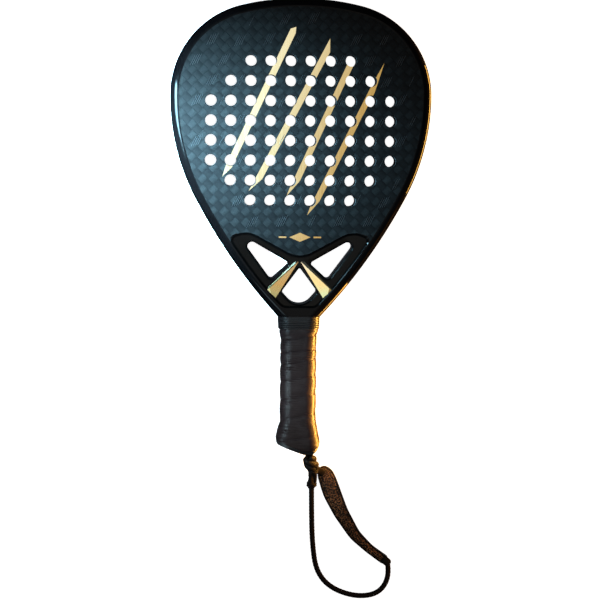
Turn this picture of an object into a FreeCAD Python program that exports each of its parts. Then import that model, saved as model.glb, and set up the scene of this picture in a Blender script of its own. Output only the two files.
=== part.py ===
"""Padel racket, lying on its back face.

X runs across the head, Y along the racket towards the crown, Z out of the front face.
The origin is under the middle of the racket's length and width, at the back face.
Sizes are millimetres.
"""
import FreeCAD, Part
import math
import os

V = FreeCAD.Vector

# Overall sizes
racket_length = 454.5
head_width = 259.2
thickness = 38.0

# Head outline: crown, shoulder and cheek arcs, then one flank arc to the throat
throat_y = -88.0
throat_width = 42.6
crown_r = 251.0
shoulder_r = 91.7
cheek_r = 217.6
cheek_turn_deg = 28.0

# Frame tube and faces
rim_round = 8.0
skin_edge = 8.5
ring_width = 16.0
tube_wall = 3.0
tube_wall_z = 6.0
skin_t = 0.9
foil_t = 0.15

# Drilled holes: row counts from the crown down. The longest row stops short of the frame tube
hole_d = 11.4
hole_tube_gap = 18.8
hole_pitch_y = 19.8
hole_rows = (6, 8, 10, 10, 10, 10, 8, 6)
holes_below_crown = 130.85

# Throat bridge: a panel sunk below both faces, with three windows
panel_edge = 8.4
panel_sink = 1.75
panel_foot_r = 11.0
panel_wing_r = 6.0
yoke_width = 8.0
window_round = 2.5
window_near = 0.6
panel_dip = (0.0, -30.4, 25.0)
panel_hump = (0.5879, -3.2, 24.0)
panel_outer_fall = 0.22

# Throat windows as circles (place across, Y, radius) and gold wedges as plan corners
# (place across, Y). A place across is a share of the head's half width at that height
side_window = ((0.6237, -18.6, 4.6), (0.2212, -35.4, 2.6), (0.5002, -46.8, 3.4))
apex_window = ((0.0, -41.5, 1.3), (0.3151, -63.2, 3.4))
apex_bowl_y = -60.8
apex_bowl_share = 0.3352
wedge_top_out = (0.0714, -33.2)
wedge_top_in = (0.0153, -33.2)
wedge_low_in = (0.7727, -73.7)
wedge_low_out = (0.8183, -63.3)
wedge_ridge_top = (0.0569, -34.2)
wedge_ridge_low = (0.6460, -59.6)
wedge_seat_depth = 4.0
wedge_edge_depth = 1.1
wedge_ridge_depth = 0.2

# Foil slashes: top tip and bottom tip (X, Y above the middle of the holes), width, then for each
# end the tip's place across the width (-1 left, 1 right) and how far from it the left and the
# right side reach full width
slash_lines = (
    ((-5.4, 102.2), (-77.4, -45.8), 6.4, (0.3, 4.0, 6.0), (-0.4, 14.0, 12.0)),
    ((28.2, 91.2), (-51.3, -60.1), 6.3, (-1.0, 1.0, 12.0), (-1.0, 1.0, 17.0)),
    ((50.6, 70.0), (-13.6, -64.5), 6.0, (0.0, 2.0, 2.0), (-0.8, 7.0, 19.0)),
    ((82.0, 67.5), (6.9, -83.6), 5.8, (-0.6, 24.0, 30.0), (-0.6, 9.0, 18.0)),
)
emblem_y = -9.0
emblem_width = 42.0
emblem_height = 9.0

# Handle over the grip: stations below the throat, then above the butt's end, each with the
# finished width and how much thinner it is than the head
mid_z = thickness / 2
grip_top = (
    (0.0, 38.6, 3.2),
    (-12.5, 38.8, 3.2),
    (-16.0, 38.2, 3.4),
    (-19.5, 36.2, 4.7),
    (-24.0, 35.8, 5.0),
)
grip_foot = (
    (34.25, 35.8, 5.0),
    (28.25, 39.0, 3.6),
    (22.25, 41.6, 2.0),
    (16.25, 43.2, 1.0),
    (11.25, 43.2, 1.0),
    (-8.75, 43.2, 1.0),
)
handle_corner = 0.34
overgrip_t = 0.7
base_grip_t = 1.5
shaft_x = 24.0
shaft_z = 22.0
shaft_wall = 2.0
shaft_socket = 6.0
shaft_end_up = 22.25
shell_end_up = 31.25
collar_length = 12.5
collar_proud = (1.9, 0.8)
collar_ribs = 6
collar_groove = 0.6
collar_headroom = 1.2
tape_top = 2.0
tape_length = 7.0
butt_rim = 3.5
butt_heel = (-17.4, 14.3, 4.2)
butt_toe = (9.3, 12.0, 12.0)
butt_side_r = 9.0

# Cord anchor inside the butt
pin_x = 11.5
pin_up = 7.5
pin_r = 2.0
pin_clear = 0.3
pin_seat = 4.0
eye_r = 4.8
eye_t = 7.6
neck_width = 7.0
neck_sunk = 2.0
mouth_t = 10.0
mouth_r = 5.4
mouth_left = 9.2
mouth_right = 7.2
mouth_past = 2.0
mouth_lip_r = 1.0
staple_wire = 1.0
staple_leg = 6.0
staple_span = 8.0
staple_up = 26.75
staple_seat = 2.6

# Wrist strap, lying on the surface that the racket lies on. Y is measured from the butt's end
whip_drop = 1.8
whip_top = V(12.5, -4.75, mid_z - whip_drop)
whip_end = V(16.2, -15.25, 11.5)
whip_r = 7.2
knot_end = V(15.1, -36.25, 5.4)
knot_r = 5.2
knot_start_share = 0.2
cord_d = 5.4
cord_route = (
    V(15.1, -36.25, 4.6),
    V(15.4, -63.45, 2.9),
    V(16.7, -95.65, 2.8),
    V(20.9, -121.75, 2.9),
    V(35.6, -138.75, 2.8),
    V(61.9, -147.55, 2.9),
    V(85.0, -143.85, 2.8),
    V(95.4, -125.65, 2.9),
    V(92.8, -112.05, 3.2),
)
cord_arc_share = 0.45
pad_stations = (
    (27.5, -19.25, 5.6),
    (31.5, -27.75, 7.4),
    (35.6, -40.75, 7.9),
    (45.0, -61.15, 6.3),
    (59.3, -84.15, 4.6),
    (74.0, -98.15, 3.4),
    (91.0, -110.35, 3.6),
)
pad_t = 5.2
pad_cover_t = 0.8
binding_w = 1.3
tongue_w = 8.0
tongue_t = 2.4
tab_r = 4.6
tab_rise = 1.2

crown_y = racket_length / 2
heel_y = crown_y - racket_length
front_z = thickness
half_row = (max(hole_rows) - 1) / 2
hole_pitch_x = (head_width / 2 - ring_width - hole_tube_gap - hole_d / 2) / half_row
holes_mid_y = crown_y - holes_below_crown
shaft_end_y = heel_y + shaft_end_up
shell_end_y = heel_y + shell_end_up
collar_end_y = throat_y - collar_length
tape_y = (throat_y - tape_top, throat_y - tape_top - tape_length)
staple_in_y = heel_y + staple_up
handle_stations = [(throat_y + y, w, thickness - less) for y, w, less in grip_top]
handle_stations += [(heel_y + y, w, thickness - less) for y, w, less in grip_foot]
tiny = 1e-6


def at(x, y, z=0.0):
    return V(x, y, z)


def largest(shape):
    return max(shape.Solids, key=lambda solid: solid.Volume)


def mirrored(p):
    return V(-p.x, p.y, p.z)


def line(a, b):
    return Part.LineSegment(a, b).toShape()


def arc(a, b, c):
    return Part.Arc(a, b, c).toShape()


def prism(face, z0, z1):
    """A flat face in the XY plane, stood up between two heights."""
    moved = face.copy()
    moved.translate(at(0, 0, z0))
    return moved.extrude(at(0, 0, z1 - z0))


def slab(y0, y1):
    """A block wider than the racket between two places along Y."""
    low = min(y0, y1)
    return Part.makeBox(2 * head_width, abs(y1 - y0), 3 * thickness, at(-head_width, low, -thickness))


def rounded_edges(points, radii, closed=False):
    """Straight runs between points, joined by a tangent arc of its own radius at each corner."""
    count = len(points)
    corners = range(count) if closed else range(1, count - 1)
    starts = dict()
    ends = dict()
    arcs = dict()
    for i in corners:
        into = (points[i] - points[i - 1]).normalize()
        out = (points[(i + 1) % count] - points[i]).normalize()
        half_turn = into.getAngle(out) / 2
        reach = radii[i] * math.tan(half_turn)
        bisector = (out - into).normalize()
        starts[i] = points[i] - into * reach
        ends[i] = points[i] + out * reach
        middle = points[i] + bisector * (radii[i] / math.cos(half_turn) - radii[i])
        arcs[i] = arc(starts[i], middle, ends[i])
    edges = []
    for i in range(count if closed else count - 1):
        j = (i + 1) % count
        edges.append(line(ends.get(i, points[i]), starts.get(j, points[j])))
        if j in arcs:
            edges.append(arcs[j])
    return edges


def hull_face(circles):
    """A closed face round circles (x, y, r) in order: tangent lines joined by their arcs."""
    centres = [at(x, y) for x, y, _ in circles]
    radii = [c[2] for c in circles]
    count = len(circles)
    area = sum(a.x * b.y - b.x * a.y for a, b in zip(centres, centres[1:] + centres[:1]))
    if area < 0:
        centres.reverse()
        radii.reverse()
    leave = []
    arrive = []
    for i in range(count):
        j = (i + 1) % count
        step = centres[j] - centres[i]
        share = (radii[i] - radii[j]) / step.Length
        unit = step.normalize()
        side = at(unit.y, -unit.x)
        normal = unit * share + side * math.sqrt(1 - share * share)
        leave.append(centres[i] + normal * radii[i])
        arrive.append(centres[j] + normal * radii[j])
    edges = []
    for i in range(count):
        before = arrive[i - 1] - centres[i]
        after = leave[i] - centres[i]
        start = math.atan2(before.y, before.x)
        sweep = (math.atan2(after.y, after.x) - start) % (2 * math.pi)
        half_way = start + sweep / 2
        middle = centres[i] + at(math.cos(half_way), math.sin(half_way)) * radii[i]
        edges.append(arc(arrive[i - 1], middle, leave[i]))
        edges.append(line(leave[i], arrive[i]))
    return Part.Face(Part.Wire(edges))


def head_outline():
    """Planform of the head: five tangent arcs and the flat of the throat."""
    half = head_width / 2
    lean = math.asin((half - shoulder_r) / (crown_r - shoulder_r))
    crown_c = at(0, crown_y - crown_r)
    shoulder_c = crown_c + at(math.sin(lean), math.cos(lean)) * (crown_r - shoulder_r)
    cheek_c = at(half - cheek_r, shoulder_c.y)
    turn = math.radians(cheek_turn_deg)

    def on(centre, r, angle):
        return centre + at(r * math.cos(angle), r * math.sin(angle))

    right_angle = math.pi / 2
    top = on(crown_c, crown_r, right_angle)
    crown_end = on(crown_c, crown_r, right_angle - lean)
    shoulder_mid = on(shoulder_c, shoulder_r, (right_angle - lean) / 2)
    widest = on(shoulder_c, shoulder_r, 0)
    cheek_mid = on(cheek_c, cheek_r, -turn / 2)
    cheek_end = on(cheek_c, cheek_r, -turn)
    throat = at(throat_width / 2, throat_y)
    inwards = at(-math.cos(turn), math.sin(turn))
    chord = throat - cheek_end
    flank_r = chord.Length ** 2 / (2 * chord.dot(inwards))
    flank_c = cheek_end + inwards * flank_r
    spoke = (cheek_end + throat) * 0.5 - flank_c
    flank_mid = flank_c + spoke.normalize() * abs(flank_r)
    right = [
        (crown_end, shoulder_mid, widest),
        (widest, cheek_mid, cheek_end),
        (cheek_end, flank_mid, throat),
    ]
    edges = [arc(mirrored(crown_end), top, crown_end)]
    edges += [arc(*points) for points in right]
    edges.append(line(throat, mirrored(throat)))
    edges += [arc(*[mirrored(p) for p in reversed(points)]) for points in reversed(right)]
    return Part.Face(Part.Wire(edges))


def half_width(y):
    """Half of the head's width at a place along it."""
    across = line(at(-head_width, y), at(head_width, y))
    return head_outline().common(across).BoundBox.XMax


def spread(place):
    """A throat point or circle with its share across turned into millimetres."""
    return (place[0] * half_width(place[1]),) + tuple(place[1:])


def inset(face, distance):
    return face.makeOffset2D(-distance, 2, False, False, False)


def rounded_slab(face):
    """The full-thickness head with its rim rounded, except at the throat's flat."""
    solid = prism(face, 0, thickness)
    rim = []
    for edge in solid.Edges:
        flat = abs(edge.BoundBox.ZLength) < tiny
        if flat and edge.Curve.TypeId == "Part::GeomCircle":
            rim.append(edge)
    return solid.makeFillet(rim_round, rim)


def panel_region():
    """Everything below the gull-wing edge where the sunk panel begins."""
    far = head_width
    low = throat_y - thickness
    dip_x, dip_y, dip_r = panel_dip
    hump_x, hump_y, hump_r = spread(panel_hump)
    corners = [(dip_x, dip_y, dip_r), (-hump_x, hump_y, hump_r)]
    corners += [(-far, hump_y - panel_outer_fall * (far - hump_x), 1.0), (-far, low - far, 1.0)]
    corners += [(-x, y, r) for x, y, r in reversed(corners[1:])]
    points = [at(x, y) for x, y, _ in corners]
    radii = [r for _, _, r in corners]
    return Part.Face(Part.Wire(rounded_edges(points, radii, closed=True)))


def panel_face(outline):
    """Planform of the sunk panel: inside the rim, below the gull-wing edge, round at its corners."""
    block = prism(inset(outline, panel_edge), 0, 1).common(prism(panel_region(), 0, 1))
    upright = [e for e in block.Edges if e.BoundBox.ZLength > 1 - tiny]
    foot = [e for e in upright if e.CenterOfMass.y < throat_y + 2 * panel_edge]
    block = block.makeFillet(panel_foot_r, foot)
    upright = [e for e in block.Edges if e.BoundBox.ZLength > 1 - tiny]
    farthest = max(abs(e.CenterOfMass.x) for e in upright)
    wing = [e for e in upright if abs(e.CenterOfMass.x) > farthest - tiny]
    block = block.makeFillet(panel_wing_r, wing)
    floor = [f for f in block.Faces if abs(f.CenterOfMass.z) < tiny]
    return floor[0]


def window_faces():
    """The two slanted side windows and the drop-shaped window under the apex."""
    circles = [spread(circle) for circle in side_window]
    right = hull_face(circles)
    left = hull_face([(-x, y, r) for x, y, r in circles])
    peak, corner = [spread(circle) for circle in apex_window]
    other = (-corner[0], corner[1], corner[2])
    bowl = (0.0, apex_bowl_y, apex_bowl_share * half_width(apex_bowl_y))
    return [right, left, hull_face([peak, other, bowl, corner])]


def hole_cutters():
    """Round cutters for the drilled holes, rows centred on the racket's middle line."""
    cutters = []
    for row, count in enumerate(hole_rows):
        y = holes_mid_y + (len(hole_rows) / 2 - 0.5 - row) * hole_pitch_y
        for column in range(count):
            x = (column - count / 2 + 0.5) * hole_pitch_x
            cutters.append(Part.makeCylinder(hole_d / 2, 3 * thickness, at(x, y, -thickness)))
    return Part.makeCompound(cutters)


def flipped(shape):
    """The same shape on the back of the racket."""
    return shape.mirror(at(0, 0, mid_z), at(0, 0, 1))


def side_swapped(shape):
    return shape.mirror(at(0, 0, 0), at(1, 0, 0))


def polyhedron(points, triangles):
    faces = []
    for names in triangles:
        corners = [points[n] for n in names]
        faces.append(Part.Face(Part.makePolygon(corners + corners[:1])))
    solid = Part.Solid(Part.Shell(faces))
    if solid.Volume < 0:
        solid.reverse()
    return solid


def wedge_plan():
    return [spread(corner) for corner in (wedge_top_out, wedge_top_in, wedge_low_in, wedge_low_out)]


def wedge_solid():
    """Roof-shaped gold wedge of the front right arm, standing in its seat."""
    seat = front_z - wedge_seat_depth
    edge = front_z - wedge_edge_depth
    ridge = front_z - wedge_ridge_depth
    plan = dict(zip("abcd", wedge_plan()))
    points = {name: at(*xy, edge) for name, xy in plan.items()}
    points.update({name.upper(): at(*xy, seat) for name, xy in plan.items()})
    points["r"] = at(*spread(wedge_ridge_top), ridge)
    points["s"] = at(*spread(wedge_ridge_low), ridge)
    roof = ("abr", "bcs", "bsr", "cds", "dar", "drs")
    walls = ("aAB", "aBb", "bBC", "bCc", "cCD", "cDd", "dDA", "dAa")
    return polyhedron(points, roof + walls + ("ABC", "ACD"))


def wedge_seat():
    corners = wedge_plan()
    outline = Part.makePolygon([at(*c) for c in corners + corners[:1]])
    return prism(Part.Face(outline), front_z - wedge_seat_depth, front_z + thickness)


def slash_face(top, foot, width, top_end, foot_end):
    """A straight blade: parallel sides, and at each end a point that its two sides run out to."""
    half = width / 2
    a = at(top[0], holes_mid_y + top[1])
    b = at(foot[0], holes_mid_y + foot[1])
    along = (b - a).normalize()
    right = at(-along.y, along.x)
    top_tip, top_left, top_right = top_end
    foot_tip, foot_left, foot_right = foot_end
    a_mid = a - right * (half * top_tip)
    b_mid = b - right * (half * foot_tip)
    points = [a, a_mid + right * half + along * top_right, b_mid + right * half - along * foot_right]
    points += [b, b_mid - right * half - along * foot_left, a_mid - right * half + along * top_left]
    return Part.Face(Part.makePolygon(points + points[:1]))


def emblem_face():
    """A plain ornament: a flat lozenge between two short bars."""
    half = emblem_height / 2
    wide = emblem_width / 4
    y = emblem_y
    lozenge = [at(-wide, y), at(0, y - half), at(wide, y), at(0, y + half)]
    faces = [Part.Face(Part.makePolygon(lozenge + lozenge[:1]))]
    bar = emblem_height / 6
    for sign in (-1, 1):
        x0 = sign * (wide + bar * 2)
        x1 = sign * emblem_width / 2
        box = [at(x0, y - bar / 2), at(x1, y - bar / 2), at(x1, y + bar / 2), at(x0, y + bar / 2)]
        faces.append(Part.Face(Part.makePolygon(box + box[:1])))
    return faces


def face_foils(holes):
    """Foil slashes and the ornament, let flush into the front face."""
    low = front_z - foil_t
    slashes = [prism(slash_face(*spec), low, front_z).cut(holes) for spec in slash_lines]
    emblem = [prism(face, low, front_z) for face in emblem_face()]
    return Part.makeCompound(slashes), Part.makeCompound(emblem)


def head_pieces():
    """Frame tube, bridge, core, faces, foils and wedges."""
    outline = head_outline()
    panel = panel_face(outline)
    bed = inset(outline, ring_width)
    skirt = inset(outline, skin_edge)
    yoke = inset(panel, -yoke_width)
    low, high = -thickness, 2 * thickness
    holes = hole_cutters()
    panel_all = prism(panel, low, high)

    ring = rounded_slab(outline)
    ring = ring.cut(prism(bed, low, high)).cut(panel_all)
    rebate = largest(prism(skirt, front_z - skin_t, high).cut(panel_all))
    ring = ring.cut(rebate).cut(flipped(rebate))
    hollow = prism(inset(outline, tube_wall), tube_wall_z, front_z - tube_wall_z)
    hollow = hollow.cut(prism(inset(outline, ring_width - tube_wall), low, high))
    hollow = hollow.cut(prism(inset(panel, -tube_wall), low, high))
    floor = slab(throat_y, throat_y + shaft_socket + tube_wall)
    ring = ring.cut(hollow.cut(floor))

    windows = [prism(face, low, high) for face in window_faces()]
    bridge = prism(panel, panel_sink, front_z - panel_sink)
    shelf = prism(yoke, skin_t, front_z - skin_t).common(prism(bed, low, high)).cut(panel_all)
    for cutter in windows:
        bridge = bridge.cut(cutter)
    bridge = soften_windows(bridge)
    bridge = bridge.fuse(shelf).removeSplitter()

    core = prism(bed, skin_t, front_z - skin_t).cut(prism(yoke, low, high)).cut(panel_all).cut(holes)

    skin = prism(skirt, front_z - skin_t, front_z).cut(panel_all)
    skin = largest(skin).cut(holes)
    slashes, emblem = face_foils(holes)
    front_skin = skin.cut(slashes).cut(emblem)
    back_skin = flipped(skin.cut(slashes))

    wedge = wedge_solid()
    wedges = dict()
    for face_name, turn in (("front", lambda s: s), ("back", flipped)):
        wedges["throat_wedge_" + face_name + "_right"] = turn(wedge)
        wedges["throat_wedge_" + face_name + "_left"] = turn(side_swapped(wedge))
    seat = wedge_seat()
    for cutter in (seat, side_swapped(seat), flipped(seat), flipped(side_swapped(seat))):
        ring = ring.cut(cutter)
        bridge = bridge.cut(cutter)
    socket = Part.makeBox(shaft_x, shaft_socket, shaft_z, at(-shaft_x / 2, throat_y, mid_z - shaft_z / 2))
    ring = ring.cut(socket)
    pieces = dict(frame_tube=ring, throat_bridge=bridge, eva_core=core)
    pieces.update(face_skin_front=front_skin, face_skin_back=back_skin)
    pieces.update(foil_slashes_front=slashes, foil_slashes_back=flipped(slashes))
    pieces.update(foil_emblem_front=emblem)
    pieces.update(wedges)
    return pieces


def soften_windows(bridge):
    """Round the window edges on both faces of the sunk panel."""
    rims = []
    for edge in bridge.Edges:
        box = edge.BoundBox
        on_face = min(abs(box.ZMin - panel_sink), abs(box.ZMax - front_z + panel_sink)) < tiny
        if box.ZLength < tiny and on_face and in_window(edge.CenterOfMass):
            rims.append(edge)
    return bridge.makeFillet(window_round, rims)


def in_window(place):
    spot = at(place.x, place.y)
    near = [face.distToShape(Part.Vertex(spot))[0] for face in window_faces()]
    return min(near) < window_near


def oval_wire(y, width, depth):
    """A rounded rectangle across the handle's axis."""
    corner = handle_corner * min(width, depth)
    x = width / 2
    z = depth / 2
    points = [V(-x, y, mid_z - z), V(x, y, mid_z - z), V(x, y, mid_z + z), V(-x, y, mid_z + z)]
    return Part.Wire(rounded_edges(points, [corner] * 4, closed=True))


def heel_face(shrink):
    """Plan of the slanted butt: heel and toe corners under a long straight body."""
    heel_x, heel_up, heel_r = butt_heel
    toe_x, toe_up, toe_r = butt_toe
    wide = throat_width
    top = throat_y + wide
    circles = [
        (-wide, top, 1.0),
        (-wide, heel_y + heel_up + wide, 1.0),
        (heel_x, heel_y + heel_up, heel_r - shrink),
        (toe_x, heel_y + toe_up, toe_r - shrink),
        (wide, heel_y + toe_up + wide, 1.0),
        (wide, top, 1.0),
    ]
    return hull_face(circles)


def heel_side(shrink):
    """The butt's round end as seen from the side, as a block across the handle."""
    reach = handle_stations[-1][2] / 2 - butt_side_r
    y = heel_y + butt_side_r
    r = butt_side_r - shrink
    circles = [(-reach, y, r), (reach, y, r), (reach, throat_y, r), (-reach, throat_y, r)]
    block = prism(hull_face(circles), -head_width, head_width)
    block.rotate(at(0, 0), at(0, 1), -90)
    block.translate(at(0, 0, mid_z))
    return block


def handle_envelope(shrink):
    """The handle's outer form, or the same form a layer further in."""
    wires = [oval_wire(y, w - 2 * shrink, t - 2 * shrink) for y, w, t in handle_stations]
    body = Part.makeLoft(wires, True, True)
    return body.common(prism(heel_face(shrink), -thickness, 2 * thickness)).common(heel_side(shrink))


def handle_pieces():
    """Shaft, foam shells, grips, tape, collar, butt cap, staples and anchor pin."""
    outer = handle_envelope(0.0)
    under_wrap = handle_envelope(overgrip_t)
    under_grip = handle_envelope(overgrip_t + base_grip_t)
    above_rim = prism(heel_face(0.0), -thickness, 2 * thickness)
    above_rim.translate(at(0, butt_rim))
    shaft_length = throat_y + shaft_socket - shaft_end_y
    shaft_box = Part.makeBox(shaft_x, shaft_length, shaft_z, at(-shaft_x / 2, shaft_end_y, mid_z - shaft_z / 2))
    bore_x = shaft_x - 2 * shaft_wall
    bore_z = shaft_z - 2 * shaft_wall
    bore = Part.makeBox(bore_x, shaft_length, bore_z, at(-bore_x / 2, shaft_end_y, mid_z - bore_z / 2))
    shaft = shaft_box.cut(bore)

    collar_zone = slab(throat_y, collar_end_y)
    tape_zone = slab(*tape_y)
    wrap_zone = slab(tape_y[1], heel_y - thickness).common(above_rim)
    grip_zone = slab(tape_y[0], heel_y - thickness).common(above_rim)
    overgrip = outer.cut(under_wrap).common(wrap_zone)
    tape = outer.cut(under_wrap).common(tape_zone)
    base_grip = under_wrap.cut(under_grip).common(grip_zone)
    shell = under_grip.common(slab(throat_y, shell_end_y)).cut(shaft_box)
    upper = Part.makeBox(head_width, racket_length, thickness, at(-head_width / 2, heel_y, mid_z))
    shell_front = shell.common(upper)
    shell_back = shell.cut(upper)

    cap = under_grip.common(slab(shell_end_y, heel_y - thickness))
    cap = cap.fuse(outer.cut(above_rim).common(slab(shell_end_y, heel_y - thickness))).removeSplitter()
    cap = cap.cut(shaft_box).cut(mouth_cutter())
    pin = anchor_pin()
    cap = cap.cut(pin)
    staples = staple_pair()
    cap = cap.cut(staples)
    shaft = shaft.cut(staples)
    collar = collar_ring().common(collar_zone).cut(outer)
    leftover = under_wrap.common(slab(throat_y, tape_y[0]))
    collar = collar.fuse(outer.cut(leftover).common(slab(throat_y, tape_y[0]))).removeSplitter()
    pieces = dict(handle_shaft=shaft, handle_shell_front=shell_front, handle_shell_back=shell_back)
    pieces.update(base_grip=base_grip, overgrip=overgrip, grip_end_tape=tape, grip_collar=collar)
    pieces.update(butt_cap=cap, cap_staples=staples, cord_anchor_pin=pin)
    return pieces


def collar_ring():
    """A tapered rubber ring with square-shouldered ribs."""
    wires = []
    top_w, top_t = handle_stations[0][1:]
    low_w, low_t = handle_stations[1][1:]
    ribs = []
    pitch = (throat_y - collar_end_y) / collar_ribs
    for i in range(collar_ribs):
        for part, depth in ((0.0, collar_groove), (0.25, 0.0), (0.8, 0.0), (1.0, collar_groove)):
            ribs.append(((i + part) / collar_ribs, depth))
    for share, depth in ribs:
        proud = collar_proud[0] + share * (collar_proud[1] - collar_proud[0]) - depth
        width = top_w + share * (low_w - top_w) + 2 * proud
        depth_z = min(top_t + share * (low_t - top_t) + 2 * proud, thickness - collar_headroom)
        wires.append(oval_wire(throat_y - share * pitch * collar_ribs, width, depth_z))
    rings = []
    for first in range(0, len(wires), 4):
        rings.append(Part.makeLoft(wires[first : first + 4], True, True))
    ring = rings[0]
    for other in rings[1:]:
        ring = ring.fuse(other)
    return ring.removeSplitter()


def pin_centre():
    return at(pin_x, heel_y + pin_up, mid_z)


def mouth_cutter():
    """The slot that the strap's eye swings in: round at the pin, flaring to the butt's end."""
    c = pin_centre()
    low = heel_y - mouth_past
    left = (c.x - mouth_left, low, mouth_lip_r)
    right = (c.x + mouth_right, low, mouth_lip_r)
    plan = hull_face([(c.x, c.y, mouth_r), left, right])
    return prism(plan, mid_z - mouth_t / 2, mid_z + mouth_t / 2)


def anchor_pin():
    reach = mouth_t + 2 * pin_seat
    return Part.makeCylinder(pin_r, reach, pin_centre() - at(0, 0, reach / 2))


def staple_pair():
    """Two wire staples through the cap into the shaft, their crowns under the grip."""
    top = mid_z + shaft_z / 2 + staple_seat
    staples = []
    for sign in (-1, 1):
        x = sign * (shaft_x / 2 - shaft_wall / 2)
        low = staple_in_y - staple_span / 2
        crown_size = (staple_wire, staple_span, staple_wire)
        staple = Part.makeBox(*crown_size, V(x - staple_wire / 2, low, top - staple_wire))
        for y in (low + staple_wire / 2, low + staple_span - staple_wire / 2):
            foot = V(x, y, top - staple_leg)
            staple = staple.fuse(Part.makeCylinder(staple_wire / 2, staple_leg - staple_wire / 2, foot))
        staples.append(staple.removeSplitter())
    return Part.makeCompound(staples)


def rod(a, b, r):
    return Part.makeCylinder(r, (b - a).Length, a, b - a)


def cord_tube():
    """The free cord: straight runs joined by tangent arcs, swept with a round section."""
    points = list(cord_route)
    radii = [0.0]
    for before, here, after in zip(points, points[1:], points[2:]):
        into = here - before
        out = after - here
        shorter = min(into.Length, out.Length)
        radii.append(cord_arc_share * shorter / math.tan(into.getAngle(out) / 2))
    radii.append(0.0)
    path = Part.Wire(rounded_edges(points, radii))
    print("cord bend radii, mm:", [round(r, 1) for r in radii[1:-1]], "length", round(path.Length, 1))
    section = Part.Wire(Part.Circle(points[0], points[1] - points[0], cord_d / 2).toShape())
    tube = path.makePipeShell([section], True, False)
    ideal = math.pi * cord_d ** 2 / 4 * path.Length
    print("cord tube volume over section times length:", round(tube.Volume / ideal, 4))
    return tube


def pad_band(grow, z0, z1):
    """The wrist pad's plan, a row of circles joined by their tangents, between two heights."""
    band = None
    for (xa, ya, ra), (xb, yb, rb) in zip(pad_stations, pad_stations[1:]):
        link = prism(hull_face([(xa, ya, ra + grow), (xb, yb, rb + grow)]), z0, z1)
        band = link if band is None else band.fuse(link)
    return band.removeSplitter()


def strap_pieces():
    """Eye, whipping, knot, cord, padded wrist band and its end tab."""
    c = pin_centre() - at(0, heel_y)
    z0, z1 = mid_z - eye_t / 2, mid_z + eye_t / 2
    eye = Part.makeCylinder(eye_r, eye_t, at(c.x, c.y, z0))
    neck_low = whip_top.y - neck_sunk
    neck = Part.makeBox(neck_width, c.y - neck_low, eye_t, V(c.x - neck_width / 2, neck_low, z0))
    whipping = rod(whip_top, whip_end, whip_r)
    eye = eye.fuse(neck).cut(Part.makeCylinder(pin_r + pin_clear, 3 * eye_t, at(c.x, c.y, z0 - eye_t)))
    eye = eye.cut(whipping).removeSplitter()
    eye = largest(eye)

    knot_start = whip_end + (whip_top - whip_end) * knot_start_share
    knot = rod(knot_start, knot_end, knot_r).cut(whipping)
    knot = largest(knot)

    lining = pad_band(0.0, 0.0, pad_cover_t)
    foam = pad_band(0.0, pad_cover_t, pad_t - pad_cover_t)
    face = pad_band(0.0, pad_t - pad_cover_t, pad_t)
    binding = pad_band(binding_w, 0.0, pad_t).cut(pad_band(0.0, -1.0, pad_t + 1.0))
    pad_all = pad_band(binding_w, 0.0, pad_t)
    knot = knot.cut(pad_all)

    first = pad_stations[0]
    seat = V(first[0], first[1], pad_t - tongue_t / 2)
    tongue = tongue_solid(whip_end, seat).cut(whipping).cut(knot).cut(pad_all)
    tongue = largest(tongue)

    last = pad_stations[-1]
    end = cord_route[-1]
    tab = prism(hull_face([(last[0], last[1], tab_r), (end.x, end.y, tab_r)]), 0.0, pad_t + tab_rise)
    tab = tab.cut(pad_all)
    tab = largest(tab)
    cord = cord_tube().cut(tab).cut(knot).cut(pad_all)
    cord = largest(cord)
    pieces = dict(strap_eye=eye, strap_whipping=whipping, strap_knot=knot, strap_cord=cord)
    pieces.update(pad_lining=lining, pad_foam=foam, pad_face=face, pad_binding=binding)
    pieces.update(pad_tongue=tongue, pad_end_tab=tab)
    for shape in pieces.values():
        shape.translate(at(0, heel_y))
    return pieces


def tongue_solid(start, end):
    """A flat strip from the whipping down to the pad."""
    run = end - start
    side = at(-run.y, run.x).normalize() * (tongue_w / 2)
    lift = V(0, 0, tongue_t / 2)
    sections = []
    for place in (start, end):
        corners = [place - side - lift, place + side - lift, place + side + lift, place - side + lift]
        sections.append(Part.makePolygon(corners + corners[:1]))
    return Part.makeLoft(sections, True, True)


def main():
    os.makedirs("parts", exist_ok=True)
    pieces = head_pieces()
    pieces.update(handle_pieces())
    pieces.update(strap_pieces())
    for name, shape in pieces.items():
        solids = shape.Solids
        if not shape.isValid() or not solids:
            print("check", name, shape.isValid(), len(solids))
        shape.exportStep("parts/" + name + ".step")
        print(name, len(solids), "solids", round(shape.Volume / 1000, 3), "cm3")


main()
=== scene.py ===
"""Padel racket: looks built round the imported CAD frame. Lengths are metres."""

import math

import bmesh
import bpy
import numpy as np
from mathutils import Matrix, Vector
from mathutils.geometry import delaunay_2d_cdt


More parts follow.
